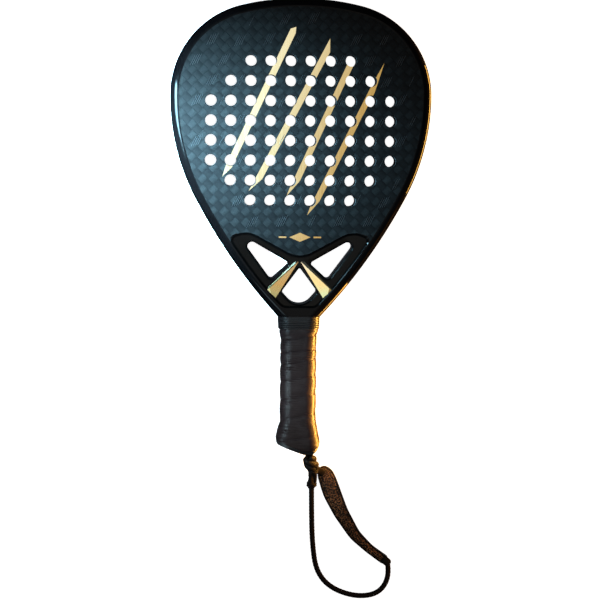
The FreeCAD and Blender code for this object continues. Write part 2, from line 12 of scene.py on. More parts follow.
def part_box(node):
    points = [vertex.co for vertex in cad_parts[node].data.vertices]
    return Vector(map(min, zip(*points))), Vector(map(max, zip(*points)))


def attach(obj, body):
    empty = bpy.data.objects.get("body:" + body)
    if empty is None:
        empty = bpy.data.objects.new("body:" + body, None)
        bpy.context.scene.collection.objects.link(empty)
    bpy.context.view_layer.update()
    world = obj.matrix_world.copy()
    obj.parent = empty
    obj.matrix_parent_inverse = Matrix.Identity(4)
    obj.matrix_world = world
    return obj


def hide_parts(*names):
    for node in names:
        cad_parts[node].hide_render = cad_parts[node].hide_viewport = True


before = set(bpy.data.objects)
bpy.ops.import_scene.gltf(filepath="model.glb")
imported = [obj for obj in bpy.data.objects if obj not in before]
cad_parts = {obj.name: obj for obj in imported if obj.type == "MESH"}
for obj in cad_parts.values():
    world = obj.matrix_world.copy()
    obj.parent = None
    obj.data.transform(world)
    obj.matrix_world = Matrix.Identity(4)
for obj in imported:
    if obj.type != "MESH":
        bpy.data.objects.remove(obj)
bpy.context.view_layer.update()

MM = 0.001
FACE_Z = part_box("frame_tube")[1].z
MID_Z = FACE_Z / 2

# ---------------------------------------------------------------- camera and cord route

CAMERA_SPOT = Vector((-0.085, 0.093, 2.62))
CAMERA_AIM = Vector((0.0013, -0.0725, MID_Z))
CAMERA_ROLL = math.radians(0.52)
FIELD = 0.600


def make_camera():
    """A long lens straight above the racket, leaning a little, one FIELD wide at mid height."""
    data = bpy.data.cameras.new("camera")
    camera = bpy.data.objects.new("camera", data)
    bpy.context.scene.collection.objects.link(camera)
    sight = CAMERA_AIM - CAMERA_SPOT
    back = -sight.normalized()
    up = Vector((-math.sin(CAMERA_ROLL), math.cos(CAMERA_ROLL), 0.0))
    right = up.cross(back).normalized()
    up = back.cross(right)
    turn = Matrix((right, up, back)).transposed()
    camera.matrix_world = Matrix.Translation(CAMERA_SPOT) @ turn.to_4x4()
    data.sensor_width = 36.0
    data.lens = data.sensor_width * sight.length / FIELD
    data.clip_start = 0.1
    data.clip_end = 20.0
    bpy.context.scene.camera = camera


CORD_D = 5.4 * MM
CORD_ROUTE = (
    (15.1, -263.5, 4.6),
    (15.4, -290.7, 2.9),
    (16.7, -322.9, 2.8),
    (20.9, -349.0, 2.9),
    (35.6, -366.0, 2.8),
    (61.9, -374.8, 2.9),
    (85.0, -371.1, 2.8),
    (95.4, -352.9, 2.9),
    (92.8, -339.3, 3.2),
)


def spline_points(points):
    """Points along a NURBS spline of order 3 that has the route's points as its control points, in metres."""
    data = bpy.data.curves.new("route", "CURVE")
    data.dimensions = "3D"
    spline = data.splines.new("NURBS")
    spline.points.add(len(points) - 1)
    for place, point in zip(points, spline.points):
        point.co = (place[0] * MM, place[1] * MM, place[2] * MM, 1.0)
    spline.order_u = 3
    spline.use_endpoint_u = True
    spline.resolution_u = 24
    bare = bpy.data.objects.new("route", data)
    bpy.context.scene.collection.objects.link(bare)
    mesh = bpy.data.meshes.new_from_object(bare)
    line = np.empty(len(mesh.vertices) * 3)
    mesh.vertices.foreach_get("co", line)
    bpy.data.objects.remove(bare)
    bpy.data.meshes.remove(mesh)
    return line.reshape(-1, 3)


# ---------------------------------------------------------------- material graph


class Finish:
    """A material on one Principled shader, with short calls for the nodes that feed it."""

    def __init__(self, name, **sockets):
        self.material = bpy.data.materials.new(name)
        self.material.use_nodes = True
        self.tree = self.material.node_tree
        self.shader = self.tree.nodes["Principled BSDF"]
        self.place = self.node("ShaderNodeTexCoord").outputs["Object"]
        for socket, value in sockets.items():
            self.shader.inputs[socket.replace("_", " ")].default_value = value

    def node(self, kind, inputs=None, **settings):
        made = self.tree.nodes.new(kind)
        for key, value in settings.items():
            setattr(made, key, value)
        for key, value in (inputs or {}).items():
            self.feed(made.inputs[key], value)
        return made

    def feed(self, socket, value):
        if isinstance(value, bpy.types.NodeSocket):
            self.tree.links.new(value, socket)
        else:
            socket.default_value = value

    def drive(self, socket, value):
        self.feed(self.shader.inputs[socket], value)

    def math(self, operation, first, second=0.0, third=0.0):
        inputs = {0: first, 1: second, 2: third}
        return self.node("ShaderNodeMath", inputs, operation=operation).outputs[0]

    def mapped(self, scale=(1, 1, 1), turn=(0, 0, 0), shift=(0, 0, 0), source=None):
        inputs = {"Vector": source or self.place, "Scale": scale, "Rotation": turn, "Location": shift}
        return self.node("ShaderNodeMapping", inputs).outputs[0]

    def axes(self, vector):
        made = self.node("ShaderNodeSeparateXYZ", {0: vector})
        return made.outputs[0], made.outputs[1], made.outputs[2]

    def noise(self, vector, scale, detail=3.0, roughness=0.5):
        inputs = {"Vector": vector, "Scale": scale, "Detail": detail, "Roughness": roughness}
        return self.node("ShaderNodeTexNoise", inputs).outputs["Fac"]

    def ramp(self, value, *stops):
        made = self.node("ShaderNodeValToRGB", {0: value})
        band = made.color_ramp
        while len(band.elements) < len(stops):
            band.elements.new(0.5)
        for element, (spot, colour) in zip(band.elements, stops):
            element.position = spot
            element.color = (*colour, 1.0) if len(colour) == 3 else colour
        return made.outputs[0]

    def level(self, value, low, high, to_low=0.0, to_high=1.0):
        inputs = {0: value, 1: low, 2: high, 3: to_low, 4: to_high}
        return self.node("ShaderNodeMapRange", inputs).outputs[0]

    def mix(self, share, first, second):
        made = self.node("ShaderNodeMix", data_type="RGBA")
        self.feed(made.inputs[0], share)
        self.feed(made.inputs[6], first)
        self.feed(made.inputs[7], second)
        return made.outputs[2]

    def bump(self, height, depth, strength=1.0):
        inputs = {"Height": height, "Distance": depth, "Strength": strength}
        made = self.node("ShaderNodeBump", inputs)
        old = self.shader.inputs["Normal"]
        if old.links:
            self.tree.links.new(old.links[0].from_socket, made.inputs["Normal"])
        self.tree.links.new(made.outputs[0], old)


# ---------------------------------------------------------------- finishes

TOW = 7.6 * MM


def weave_nodes(finish, width, fibres):
    """Basket weave turned 45 degrees: (share along one tow, crown height, fibre lines)."""
    turned = finish.mapped((1 / width,) * 3, (0, 0, math.radians(45)))
    u, v, _ = finish.axes(turned)
    cell = finish.math("ADD", finish.math("FLOOR", u), finish.math("FLOOR", v))
    odd = finish.math("ABSOLUTE", finish.math("MODULO", cell, 2.0))
    across = finish.math("ADD", finish.math("MULTIPLY", v, finish.math("SUBTRACT", 1.0, odd)),
                         finish.math("MULTIPLY", u, odd))
    part = finish.math("FRACT", across)
    crown = finish.math("SINE", finish.math("MULTIPLY", part, math.pi))
    lines = finish.math("SINE", finish.math("MULTIPLY", across, 2 * math.pi * fibres))
    return odd, crown, lines


def face_finish():
    """Carbon face: dark basket weave under a satin lacquer. One tow direction is painted lighter than the
    other as a painted sheen, the grooves between tows are painted darker as painted shade, each tow is
    crowned and lined with fibres, and a fine grain lies over it."""
    finish = Finish("face_laminate", Roughness=0.5, IOR=1.18)
    odd, crown, lines = weave_nodes(finish, TOW, 9.0)
    cloud = finish.noise(finish.place, 60.0, 4.0)
    grain = finish.noise(finish.place, 900.0, 3.0)
    patch = finish.level(cloud, 0.3, 0.7)
    # painted sheen: the two tow directions get a lighter and a darker colour, standing for the brighter
    # reflection off one of them
    painted_lit_tone = finish.mix(patch, (0.013, 0.0135, 0.014, 1), (0.019, 0.0195, 0.020, 1))
    painted_dim_tone = finish.mix(patch, (0.0065, 0.0065, 0.007, 1), (0.011, 0.011, 0.0115, 1))
    # painted shade: the colour falls to near black towards the grooves between tows, and the grain varies it
    # as well
    edge = finish.math("POWER", crown, 0.5)
    tone = finish.mix(odd, painted_dim_tone, painted_lit_tone)
    shaded = finish.mix(finish.math("MULTIPLY", edge, finish.level(grain, 0.3, 0.7, 0.55, 1.0)),
                        (0.003, 0.003, 0.0035, 1), tone)
    finish.drive("Base Color", shaded)
    gloss = finish.math("MULTIPLY_ADD", odd, 0.06, 0.46)
    finish.drive("Roughness", finish.math("MULTIPLY_ADD", cloud, 0.10, gloss))
    finish.bump(crown, 0.22 * MM, 0.8)
    finish.bump(lines, 0.03 * MM, 0.7)
    finish.bump(grain, 0.05 * MM, 0.6)
    return finish.material


def lacquer_finish(name, base, rough, ior):
    """Black lacquer over carbon: a clear gloss with faint orange peel and dust-fine wear."""
    finish = Finish(name, Roughness=rough, IOR=ior)
    cloud = finish.noise(finish.place, 45.0, 5.0)
    finish.drive("Base Color", finish.ramp(cloud, (0.3, base), (0.75, [c * 1.7 for c in base])))
    finish.drive("Roughness", finish.level(cloud, 0.3, 0.7, rough * 0.85, rough * 1.25))
    finish.bump(finish.noise(finish.place, 500.0, 2.0), 0.008 * MM, 0.25)
    return finish.material


def foil_finish():
    """Gold foil with a fine brushed grain; its colour is painted light, cream on the left of the face and
    dark gold on the right, as if lit from the left.
    """
    finish = Finish("gold_foil", Metallic=1.0, Roughness=0.2)
    grain = finish.mapped((900, 60, 60), (0, 0, math.radians(-26.5)))
    fine = finish.noise(grain, 1.0, 3.0)
    x, y, _ = finish.axes(finish.place)
    painted_lit_tone = finish.ramp(fine, (0.25, (0.93, 0.84, 0.52)), (0.8, (1.0, 0.94, 0.66)))
    painted_dim_tone = finish.ramp(fine, (0.25, (0.48, 0.30, 0.08)), (0.8, (0.66, 0.44, 0.14)))
    # painted light: the colour runs from cream on the left to dark gold on the right, standing for light
    # falling from the left
    across = finish.math("MULTIPLY_ADD", y, -0.30, x)
    finish.drive("Base Color", finish.mix(finish.level(across, -0.075, 0.035), painted_lit_tone, painted_dim_tone))
    finish.drive("Roughness", finish.level(fine, 0.2, 0.8, 0.17, 0.25))
    finish.bump(fine, 0.01 * MM, 0.3)
    return finish.material


def trim_finish():
    """Anodised gold trim, mottled, its colour carrying painted reflections of the lamps: cream at both ends,
    amber in the middle and green gold near the foot.
    """
    finish = Finish("gold_trim", Metallic=1.0, Roughness=0.2)
    cloud = finish.noise(finish.place, 90.0, 3.0)
    _, y, _ = finish.axes(finish.place)
    wander = finish.math("MULTIPLY_ADD", cloud, 0.016, y)
    # painted reflections: cream, green gold and amber along the trim stand for white, cool and warm lamps
    # reflected in it
    colour = finish.ramp(
        finish.level(wander, -0.072, -0.026),
        (0.0, (0.98, 0.86, 0.55)), (0.14, (0.72, 0.84, 0.52)), (0.36, (0.78, 0.84, 0.50)),
        (0.56, (1.0, 0.78, 0.38)), (0.75, (1.0, 0.80, 0.44)), (1.0, (1.0, 0.90, 0.66)),
    )
    finish.drive("Base Color", colour)
    finish.drive("Roughness", finish.level(cloud, 0.2, 0.8, 0.17, 0.26))
    finish.bump(finish.noise(finish.place, 1500.0, 2.0), 0.01 * MM, 0.25)
    return finish.material


def grip_finish():
    """Tacky polyurethane: fine pores, a satin shine, faint handling marks."""
    base = (0.015, 0.0095, 0.0098)
    finish = Finish("overgrip_pu", Roughness=0.36, IOR=1.24)
    cloud = finish.noise(finish.place, 120.0, 5.0)
    finish.drive("Base Color", finish.ramp(cloud, (0.3, base), (0.75, [c * 1.5 for c in base])))
    finish.drive("Roughness", finish.level(cloud, 0.25, 0.75, 0.30, 0.46))
    finish.bump(finish.noise(finish.place, 900.0, 4.0), 0.10 * MM, 0.5)
    return finish.material


def foam_finish(name, base):
    """Closed-cell foam with a granular surface."""
    finish = Finish(name, Roughness=0.85)
    inputs = {"Vector": finish.place, "Scale": 900.0}
    cells = finish.node("ShaderNodeTexVoronoi", inputs).outputs["Distance"]
    finish.drive("Base Color", finish.ramp(cells, (0.0, base), (0.8, [c * 1.6 for c in base])))
    finish.bump(cells, 0.15 * MM, 0.5)
    return finish.material


def plain_finish(name, base, rough, **sockets):
    """A moulded or drawn surface with a fine grain."""
    finish = Finish(name, Roughness=rough, **sockets)
    cloud = finish.noise(finish.place, 200.0, 4.0)
    finish.drive("Base Color", finish.ramp(cloud, (0.3, base), (0.75, [c * 1.35 for c in base])))
    finish.drive("Roughness", finish.level(cloud, 0.25, 0.75, rough * 0.85, rough * 1.2))
    finish.bump(finish.noise(finish.place, 1400.0, 3.0), 0.02 * MM, 0.4)
    return finish.material


def cloth_finish(name, base, pitch):
    """Woven or knitted cloth: crossed threads and a soft sheen."""
    finish = Finish(name, Roughness=0.8, Sheen_Weight=0.4, Sheen_Roughness=0.4)
    odd, crown, _ = weave_nodes(finish, pitch, 2.0)
    cloud = finish.noise(finish.place, 300.0, 3.0)
    tone = finish.mix(odd, (*base, 1), (*[c * 1.7 for c in base], 1))
    worn = (*[c * 1.3 for c in base], 1)
    finish.drive("Base Color", finish.mix(finish.level(cloud, 0.4, 0.8), tone, worn))
    finish.bump(crown, 0.12 * MM, 0.8)
    return finish.material


def cord_finish(name, base):
    """Braided cord: carriers of dark brown and black yarn crossing along the piece's own length."""
    finish = Finish(name, Roughness=0.6, IOR=1.25, Sheen_Weight=0.08, Sheen_Roughness=0.35)
    lay = finish.node("ShaderNodeTexCoord").outputs["UV"]
    u, v, _ = finish.axes(finish.mapped((1 / (3.4 * MM), 6.0, 1.0), source=lay))
    one = finish.math("SINE", finish.math("MULTIPLY", finish.math("ADD", u, v), 2 * math.pi))
    other = finish.math("SINE", finish.math("MULTIPLY", finish.math("SUBTRACT", u, v), 2 * math.pi))
    over = finish.math("MULTIPLY", one, other)
    cloud = finish.noise(finish.place, 240.0, 4.0)
    brown = (base[0] * 3.6, base[1] * 2.0, base[2] * 1.3, 1)
    dusty = (*[c * 0.8 for c in base], 1)
    yarn = finish.mix(finish.level(over, -0.6, 0.6), (*base, 1), brown)
    finish.drive("Base Color", finish.mix(finish.level(cloud, 0.35, 0.75), yarn, dusty))
    finish.drive("Roughness", finish.level(cloud, 0.3, 0.7, 0.5, 0.75))
    finish.bump(finish.math("ABSOLUTE", over), 0.10 * MM, 0.6)
    finish.bump(finish.noise(finish.place, 3000.0, 2.0), 0.03 * MM, 0.5)
    return finish.material


def pad_finish():
    """Spacer mesh over foam: dark net with brown warp showing through and painted glints on its brightest
    spots, fading to plain knit in patches.
    """
    finish = Finish("pad_mesh", Roughness=0.72, IOR=1.25, Sheen_Weight=0.16, Sheen_Roughness=0.4)
    cloud = finish.noise(finish.place, 620.0, 3.0, 0.55)
    patch = finish.noise(finish.place, 60.0, 2.0)
    net, warp, glint = (0.005, 0.004, 0.004), (0.05, 0.027, 0.017), (0.40, 0.19, 0.09)
    # painted highlight: the brightest stop of the ramp is a painted glint, scattered by the noise
    yarn = finish.ramp(cloud, (0.44, net), (0.50, warp), (0.58, glint))
    knit = (0.020, 0.014, 0.012, 1)
    finish.drive("Base Color", finish.mix(finish.level(patch, 0.45, 0.75), yarn, knit))
    finish.drive("Roughness", finish.level(cloud, 0.3, 0.7, 0.6, 0.85))
    finish.bump(finish.noise(finish.place, 1500.0, 3.0), 0.12 * MM, 0.6)
    return finish.material


def edge_finish():
    """Binding tape: tight ribbed weave with a soft sheen."""
    finish = Finish("pad_edge", Roughness=0.55, IOR=1.25, Sheen_Weight=0.08, Sheen_Roughness=0.35)
    lay = finish.node("ShaderNodeTexCoord").outputs["UV"]
    u, _, _ = finish.axes(finish.mapped((1 / (0.9 * MM), 1.0, 1.0), source=lay))
    rib = finish.math("SINE", finish.math("MULTIPLY", u, 2 * math.pi))
    cloud = finish.noise(finish.place, 200.0, 4.0)
    colour = finish.ramp(cloud, (0.3, (0.0045, 0.0038, 0.0036)), (0.75, (0.014, 0.009, 0.007)))
    finish.drive("Base Color", colour)
    finish.drive("Roughness", finish.level(cloud, 0.3, 0.7, 0.45, 0.7))
    finish.bump(rib, 0.06 * MM, 0.5)
    finish.bump(finish.noise(finish.place, 2400.0, 2.0), 0.03 * MM, 0.5)
    return finish.material


# ---------------------------------------------------------------- stage


COOL, COOL_PALE = (0.39, 0.78, 1.0), (0.66, 0.90, 1.0)
WARM_HEAD, WARM_GRIP, WARM_STRAP = (1.0, 0.50, 0.09), (1.0, 0.46, 0.08), (1.0, 0.40, 0.10)
CREAM, STRAW, AMBER = (1.0, 0.93, 0.82), (1.0, 0.92, 0.78), (1.0, 0.58, 0.18)

# Each soft box: name, place, the point it faces, size, watts, colour, how wide it throws in degrees.
LIGHTS = (
    ("cool_side", (-0.30, 0.120, 0.28), (-0.16, 0.085, 0.04), (0.10, 0.22), 2.6, COOL, 48),
    ("cool_grip", (-0.14, -0.17, 0.20), (-0.005, -0.16, 0.034), (0.03, 0.20), 0.13, COOL_PALE, 60),
    ("warm_head", (0.20, 0.09, 0.008), (0.12, 0.09, 0.03), (0.20, 0.014), 0.8, WARM_HEAD, 150),
    ("warm_grip", (0.085, -0.155, 0.018), (0.015, -0.155, 0.03), (0.14, 0.014), 0.72, WARM_GRIP, 120),
    ("warm_strap", (0.40, -0.30, 0.06), (0.05, -0.29, 0.01), (0.30, 0.05), 0.16, WARM_STRAP, 90),
    ("over_head", (-0.075, 0.215, 1.5), (-0.075, 0.215, 0.0), (0.85, 0.67), 1.70, CREAM, 180),
    ("over_left", (-0.185, -0.335, 1.5), (-0.185, -0.335, 0.0), (0.63, 0.43), 0.95, STRAW, 180),
    ("over_right", (0.315, -0.335, 1.5), (0.315, -0.335, 0.0), (0.37, 0.43), 0.24, AMBER, 180),
)
TABLE_REACH = 4.0
TABLE_Z = -0.4 * MM
STUDIO = (0.75, 0.85, 1.0, 1)
STUDIO_STRENGTH = 0.05


def area_light(name, spot, aim, size, power, colour, spread):
    """A soft box that faces a point."""
    data = bpy.data.lights.new(name, "AREA")
    data.shape = "RECTANGLE"
    data.size, data.size_y = size
    data.energy = power
    data.color = colour
    data.spread = math.radians(spread)
    light = bpy.data.objects.new(name, data)
    light.location = spot
    light.rotation_mode = "QUATERNION"
    light.rotation_quaternion = (Vector(aim) - Vector(spot)).to_track_quat("-Z", "Y")
    light.visible_camera = False
    bpy.context.scene.collection.objects.link(light)


def make_stage():
    """Pale glowing table that throws no light on the racket, a cool soft box high on the left, a
    small one for the grip, low warm strips on the right and wide warm boxes overhead."""
    mesh = bpy.data.meshes.new("floor")
    reach, low = TABLE_REACH, TABLE_Z
    corners = [(-reach, -reach, low), (reach, -reach, low), (reach, reach, low), (-reach, reach, low)]
    mesh.from_pydata(corners, [], [(0, 1, 2, 3)])
    floor = bpy.data.objects.new("floor", mesh)
    bpy.context.scene.collection.objects.link(floor)
    finish = Finish("table", Roughness=0.9, Emission_Color=(1, 1, 1, 1), Emission_Strength=1.0)
    finish.shader.inputs["Base Color"].default_value = (0.8, 0.8, 0.8, 1)
    mesh.materials.append(finish.material)
    floor.visible_diffuse = False
    floor.visible_glossy = False
    world = bpy.data.worlds.new("studio")
    world.use_nodes = True
    sky = world.node_tree.nodes["Background"]
    sky.inputs[0].default_value = STUDIO
    sky.inputs[1].default_value = STUDIO_STRENGTH
    bpy.context.scene.world = world
    for light in LIGHTS:
        area_light(*light)
    bpy.context.scene.view_settings.view_transform = "Standard"


# ---------------------------------------------------------------- sizes of the racket

HEAD_WIDTH = 259.2 * MM
CROWN_Y = 227.25 * MM
HEEL_Y = -227.25 * MM
CROWN_R = 251.0 * MM
SHOULDER_R = 91.7 * MM
CHEEK_R = 217.6 * MM
CHEEK_TURN = math.radians(28.0)
THROAT_Y = -88.0 * MM
THROAT_WIDTH = 42.6 * MM
RIM_ROUND = 8.0 * MM
SKIN_EDGE = 8.5 * MM
TAIL = 16.0 * MM

HOLE_R = 5.7 * MM
HOLE_PITCH = (19.8 * MM, 19.8 * MM)
HOLE_ROWS = (6, 8, 10, 10, 10, 10, 8, 6)
HOLES_MID_Y = 96.4 * MM

# Circles are x, y and radius in millimetres.
PANEL_DIP = (0.0, -30.4, 25.0)
PANEL_HUMP = (50.4, -3.2, 24.0)
PANEL_FALL = 0.22
PANEL_SINK = 1.75 * MM
# The step round the panel, from its top: how far in and how far down, in millimetres.
STEP_PROFILE = ((0.0, 0.0), (0.2, 0.04), (0.45, 0.16), (1.0, 0.44), (1.6, 0.75), (1.9, 0.95), (2.3, 1.75))
FLANGE = 2.6 * MM
LAP = 0.35 * MM
FOOT_R = 11.0 * MM
WING_R = 6.0 * MM
FOOT_EDGE = 8.4 * MM
WINDOW_LIP = 2.1 * MM
SIDE_WINDOW = ((47.3, -18.6, 4.6), (14.2, -35.4, 2.6), (27.9, -46.8, 3.4))
APEX_WINDOW = ((0.0, -41.5, 1.3), (-13.5, -63.2, 3.4), (0.0, -60.8, 15.0), (13.5, -63.2, 3.4))

# Each slash: its top and its foot, in millimetres.
SLASHES = (((-5.4, 198.6), (-77.4, 50.6)), ((28.2, 187.6), (-51.3, 36.3)),
           ((50.6, 166.4), (-13.6, 31.9)), ((82.0, 163.9), (6.9, 12.8)))
SLASH_LEAN = math.radians(26.0)

# ---------------------------------------------------------------- arrays into meshes


class Shell:
    """Grids, fans and flat faces gathered into one mesh, then welded where they meet."""

    def __init__(self):
        self.points = []
        self.faces = []
        self.lays = []
        self.total = 0

    def put(self, points):
        points = np.asarray(points, float).reshape(-1, 3)
        start = self.total
        self.points.append(points)
        self.total += len(points)
        return start

    def grid(self, points, along=False, around=False, lay=None):
        """Quads over a grid of points; along and around join its last row or column to the first."""
        rows, columns = points.shape[:2]
        start = self.put(points)
        spans = np.arange(rows - (not along)), np.arange(columns - (not around))
        i, j = (part.ravel() for part in np.meshgrid(*spans, indexing="ij"))
        below, beside = (i + 1) % rows, (j + 1) % columns
        corners = [i * columns + j, below * columns + j, below * columns + beside, i * columns + beside]
        quads = np.stack(corners, 1)
        self.faces += (quads + start).tolist()
        if lay is None:
            lay = (1.0 / rows, 1.0 / columns)
        along_lay = np.stack([i, i + 1, i + 1, i], 1) * lay[0]
        around_lay = np.stack([j, j, j + 1, j + 1], 1) * lay[1]
        self.lays.append(np.stack([along_lay, around_lay], 2).reshape(-1, 2))

    def face(self, points):
        """One flat face round a closed line of points."""
        start = self.put(points)
        count = self.total - start
        self.faces.append(list(range(start, start + count)))
        self.lays.append(np.zeros((count, 2)))

    def triangles(self, points, names):
        start = self.put(points)
        self.faces += (np.asarray(names) + start).tolist()
        self.lays.append(np.zeros((3 * len(names), 2)))

    def piece(self, name, material, body, replaced=(), sharp=38.0, weld=2e-6):
        mesh = bpy.data.meshes.new(name)
        mesh.from_pydata(np.concatenate(self.points).tolist(), [], self.faces)
        layer = mesh.uv_layers.new(name="lay")
        layer.data.foreach_set("uv", np.concatenate(self.lays).ravel())
        work = bmesh.new()
        work.from_mesh(mesh)
        bmesh.ops.remove_doubles(work, verts=work.verts, dist=weld)
        bmesh.ops.dissolve_degenerate(work, dist=weld, edges=work.edges)
        bmesh.ops.recalc_face_normals(work, faces=work.faces)
        work.to_mesh(mesh)
        work.free()
        mesh.polygons.foreach_set("use_smooth", np.ones(len(mesh.polygons), bool))
        mesh.set_sharp_from_angle(angle=math.radians(sharp))
        mesh.materials.append(material)
        made = bpy.data.objects.new(name, mesh)
        bpy.context.scene.collection.objects.link(made)
        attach(made, body)
        if replaced:
            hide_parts(*replaced)
        return made


def stood(plan, height):
    """A grid of places in plan, lifted to heights given for each row or for each place."""
    return np.concatenate([plan, np.broadcast_to(height, plan.shape[:2])[..., None]], axis=2)


def unit(vectors):
    return vectors / np.maximum(np.linalg.norm(vectors, axis=-1, keepdims=True), 1e-12)


def circle_run(centre, radius, start, end, count):
    """Points and outward normals along a circle, from one angle to another."""
    angle = np.linspace(start, end, count)
    normal = np.stack([np.cos(angle), np.sin(angle)], axis=1)
    return np.asarray(centre) + radius * normal, normal


def evened(points, count, closed=True):
    """The same line with its points evenly spaced along it."""
    line = np.vstack([points, points[:1]]) if closed else points
    reach = np.concatenate([[0.0], np.cumsum(np.linalg.norm(np.diff(line, axis=0), axis=1))])
    spots = np.linspace(0, reach[-1], count, endpoint=not closed)
    return np.stack([np.interp(spots, reach, column) for column in line.T], axis=1)


def loop_normals(points):
    """Outward normals of a closed anticlockwise loop: its tangent turned to the right."""
    tangent = np.roll(points, -1, axis=0) - np.roll(points, 1, axis=0)
    return unit(np.stack([tangent[:, 1], -tangent[:, 0]], axis=1))


def rounded_line(points, radii, count=24):
    """Straight runs between points, each inner corner turned by a tangent arc of its own radius."""
    points = [np.asarray(p, float) for p in points]
    line = [points[0][None]]
    for before, corner, after, radius in zip(points, points[1:], points[2:], radii):
        into, out = unit(corner - before), unit(after - corner)
        half = math.acos(max(-1.0, min(1.0, float(into @ out)))) / 2
        start = corner - into * radius * math.tan(half)
        centre = corner + unit(out - into) * radius / math.cos(half)
        first = math.atan2(*(start - centre)[::-1])
        side = math.copysign(1.0, into[0] * out[1] - into[1] * out[0])
        line.append(circle_run(centre, radius, first, first + side * 2 * half, count)[0])
    line.append(points[-1][None])
    return np.concatenate(line)


def hull_loop(circles, count=160):
    """Anticlockwise loop round circles: tangent lines joined by arcs, evenly spaced, and its normals."""
    circles = np.array(circles) * MM
    centres, radii = circles[:, :2], circles[:, 2]
    step = np.roll(centres, -1, axis=0) - centres
    length = np.linalg.norm(step, axis=1)
    share = (radii - np.roll(radii, -1)) / length
    way = step / length[:, None]
    side = np.stack([way[:, 1], -way[:, 0]], axis=1)
    normal = way * share[:, None] + side * np.sqrt(1 - share**2)[:, None]
    angle = np.arctan2(normal[:, 1], normal[:, 0])
    runs, normals = [], []
    for centre, radius, first, last in zip(centres, radii, np.roll(angle, 1), angle):
        sweep = (last - first) % (2 * math.pi)
        points, outwards = circle_run(centre, radius, first, first + sweep, 32)
        runs.append(points)
        normals.append(outwards)
    both = evened(np.hstack([np.concatenate(runs), np.concatenate(normals)]), count)
    return both[:, :2], unit(both[:, 2:])


def head_line():
    """Outer edge of the head and its outward normals, from the throat's left over the crown to
    its right: crown, shoulder, cheek and flank arcs, each tangent to the last, then a straight tail."""
    half = HEAD_WIDTH / 2
    up = math.pi / 2
    lean = math.asin((half - SHOULDER_R) / (CROWN_R - SHOULDER_R))
    crown = np.array([0.0, CROWN_Y - CROWN_R])
    shoulder = crown + np.array([math.sin(lean), math.cos(lean)]) * (CROWN_R - SHOULDER_R)
    cheek = np.array([half - CHEEK_R, shoulder[1]])
    inwards = np.array([-math.cos(CHEEK_TURN), math.sin(CHEEK_TURN)])
    cheek_end = cheek - inwards * CHEEK_R
    throat = np.array([THROAT_WIDTH / 2, THROAT_Y])
    chord = throat - cheek_end
    flank_r = float(chord @ chord / (2 * chord @ inwards))
    flank = cheek_end + inwards * flank_r
    last = math.atan2(*(throat - flank)[::-1])
    runs = [
        circle_run(crown, CROWN_R, up, up - lean, 50),
        circle_run(shoulder, SHOULDER_R, up - lean, 0, 110),
        circle_run(cheek, CHEEK_R, 0, -CHEEK_TURN, 60),
        circle_run(flank, flank_r, -CHEEK_TURN, last, 50),
    ]
    points = np.concatenate([run[0][:-1] for run in runs])
    normals = np.concatenate([run[1][:-1] for run in runs])
    end_normal = runs[-1][1][-1]
    tangent = np.array([end_normal[1], -end_normal[0]])
    tail = runs[-1][0][-1] + np.linspace(0, TAIL, 17)[:, None] * tangent
    points = np.concatenate([points, tail])
    normals = np.concatenate([normals, np.repeat(end_normal[None], 17, axis=0)])
    flip = np.array([-1.0, 1.0])
    return tuple(np.concatenate([half_line[:0:-1] * flip, half_line]) for half_line in (points, normals))


def rim_piece(material):
    """Rounded rim: a D-shaped section of inset and height carried round the head, cut flat at the throat."""
    points, normals = head_line()
    bend = np.linspace(0, math.pi / 2, 15)
    inset = RIM_ROUND * (1 - np.cos(bend))
    rise = FACE_Z - RIM_ROUND * (1 - np.sin(bend))
    wall = np.linspace(rise[0], FACE_Z - rise[0], 9)[1:-1]
    inner = np.linspace(FACE_Z, 0, 5)
    depth = np.concatenate([inset, np.full(5, SKIN_EDGE), inset[::-1], np.zeros(7)])
    height = np.concatenate([rise, inner, FACE_Z - rise[::-1], wall[::-1]])
    flat = points[:, None, :] - depth[None, :, None] * normals[:, None, :]
    flat[..., 1] = np.maximum(flat[..., 1], THROAT_Y)
    grid = stood(flat, height)
    shell = Shell()
    shell.grid(grid, around=True)
    shell.face(grid[0])
    shell.face(grid[-1])
    return shell.piece("rim_shell", material, "racket", ["frame_tube"], sharp=50.0)


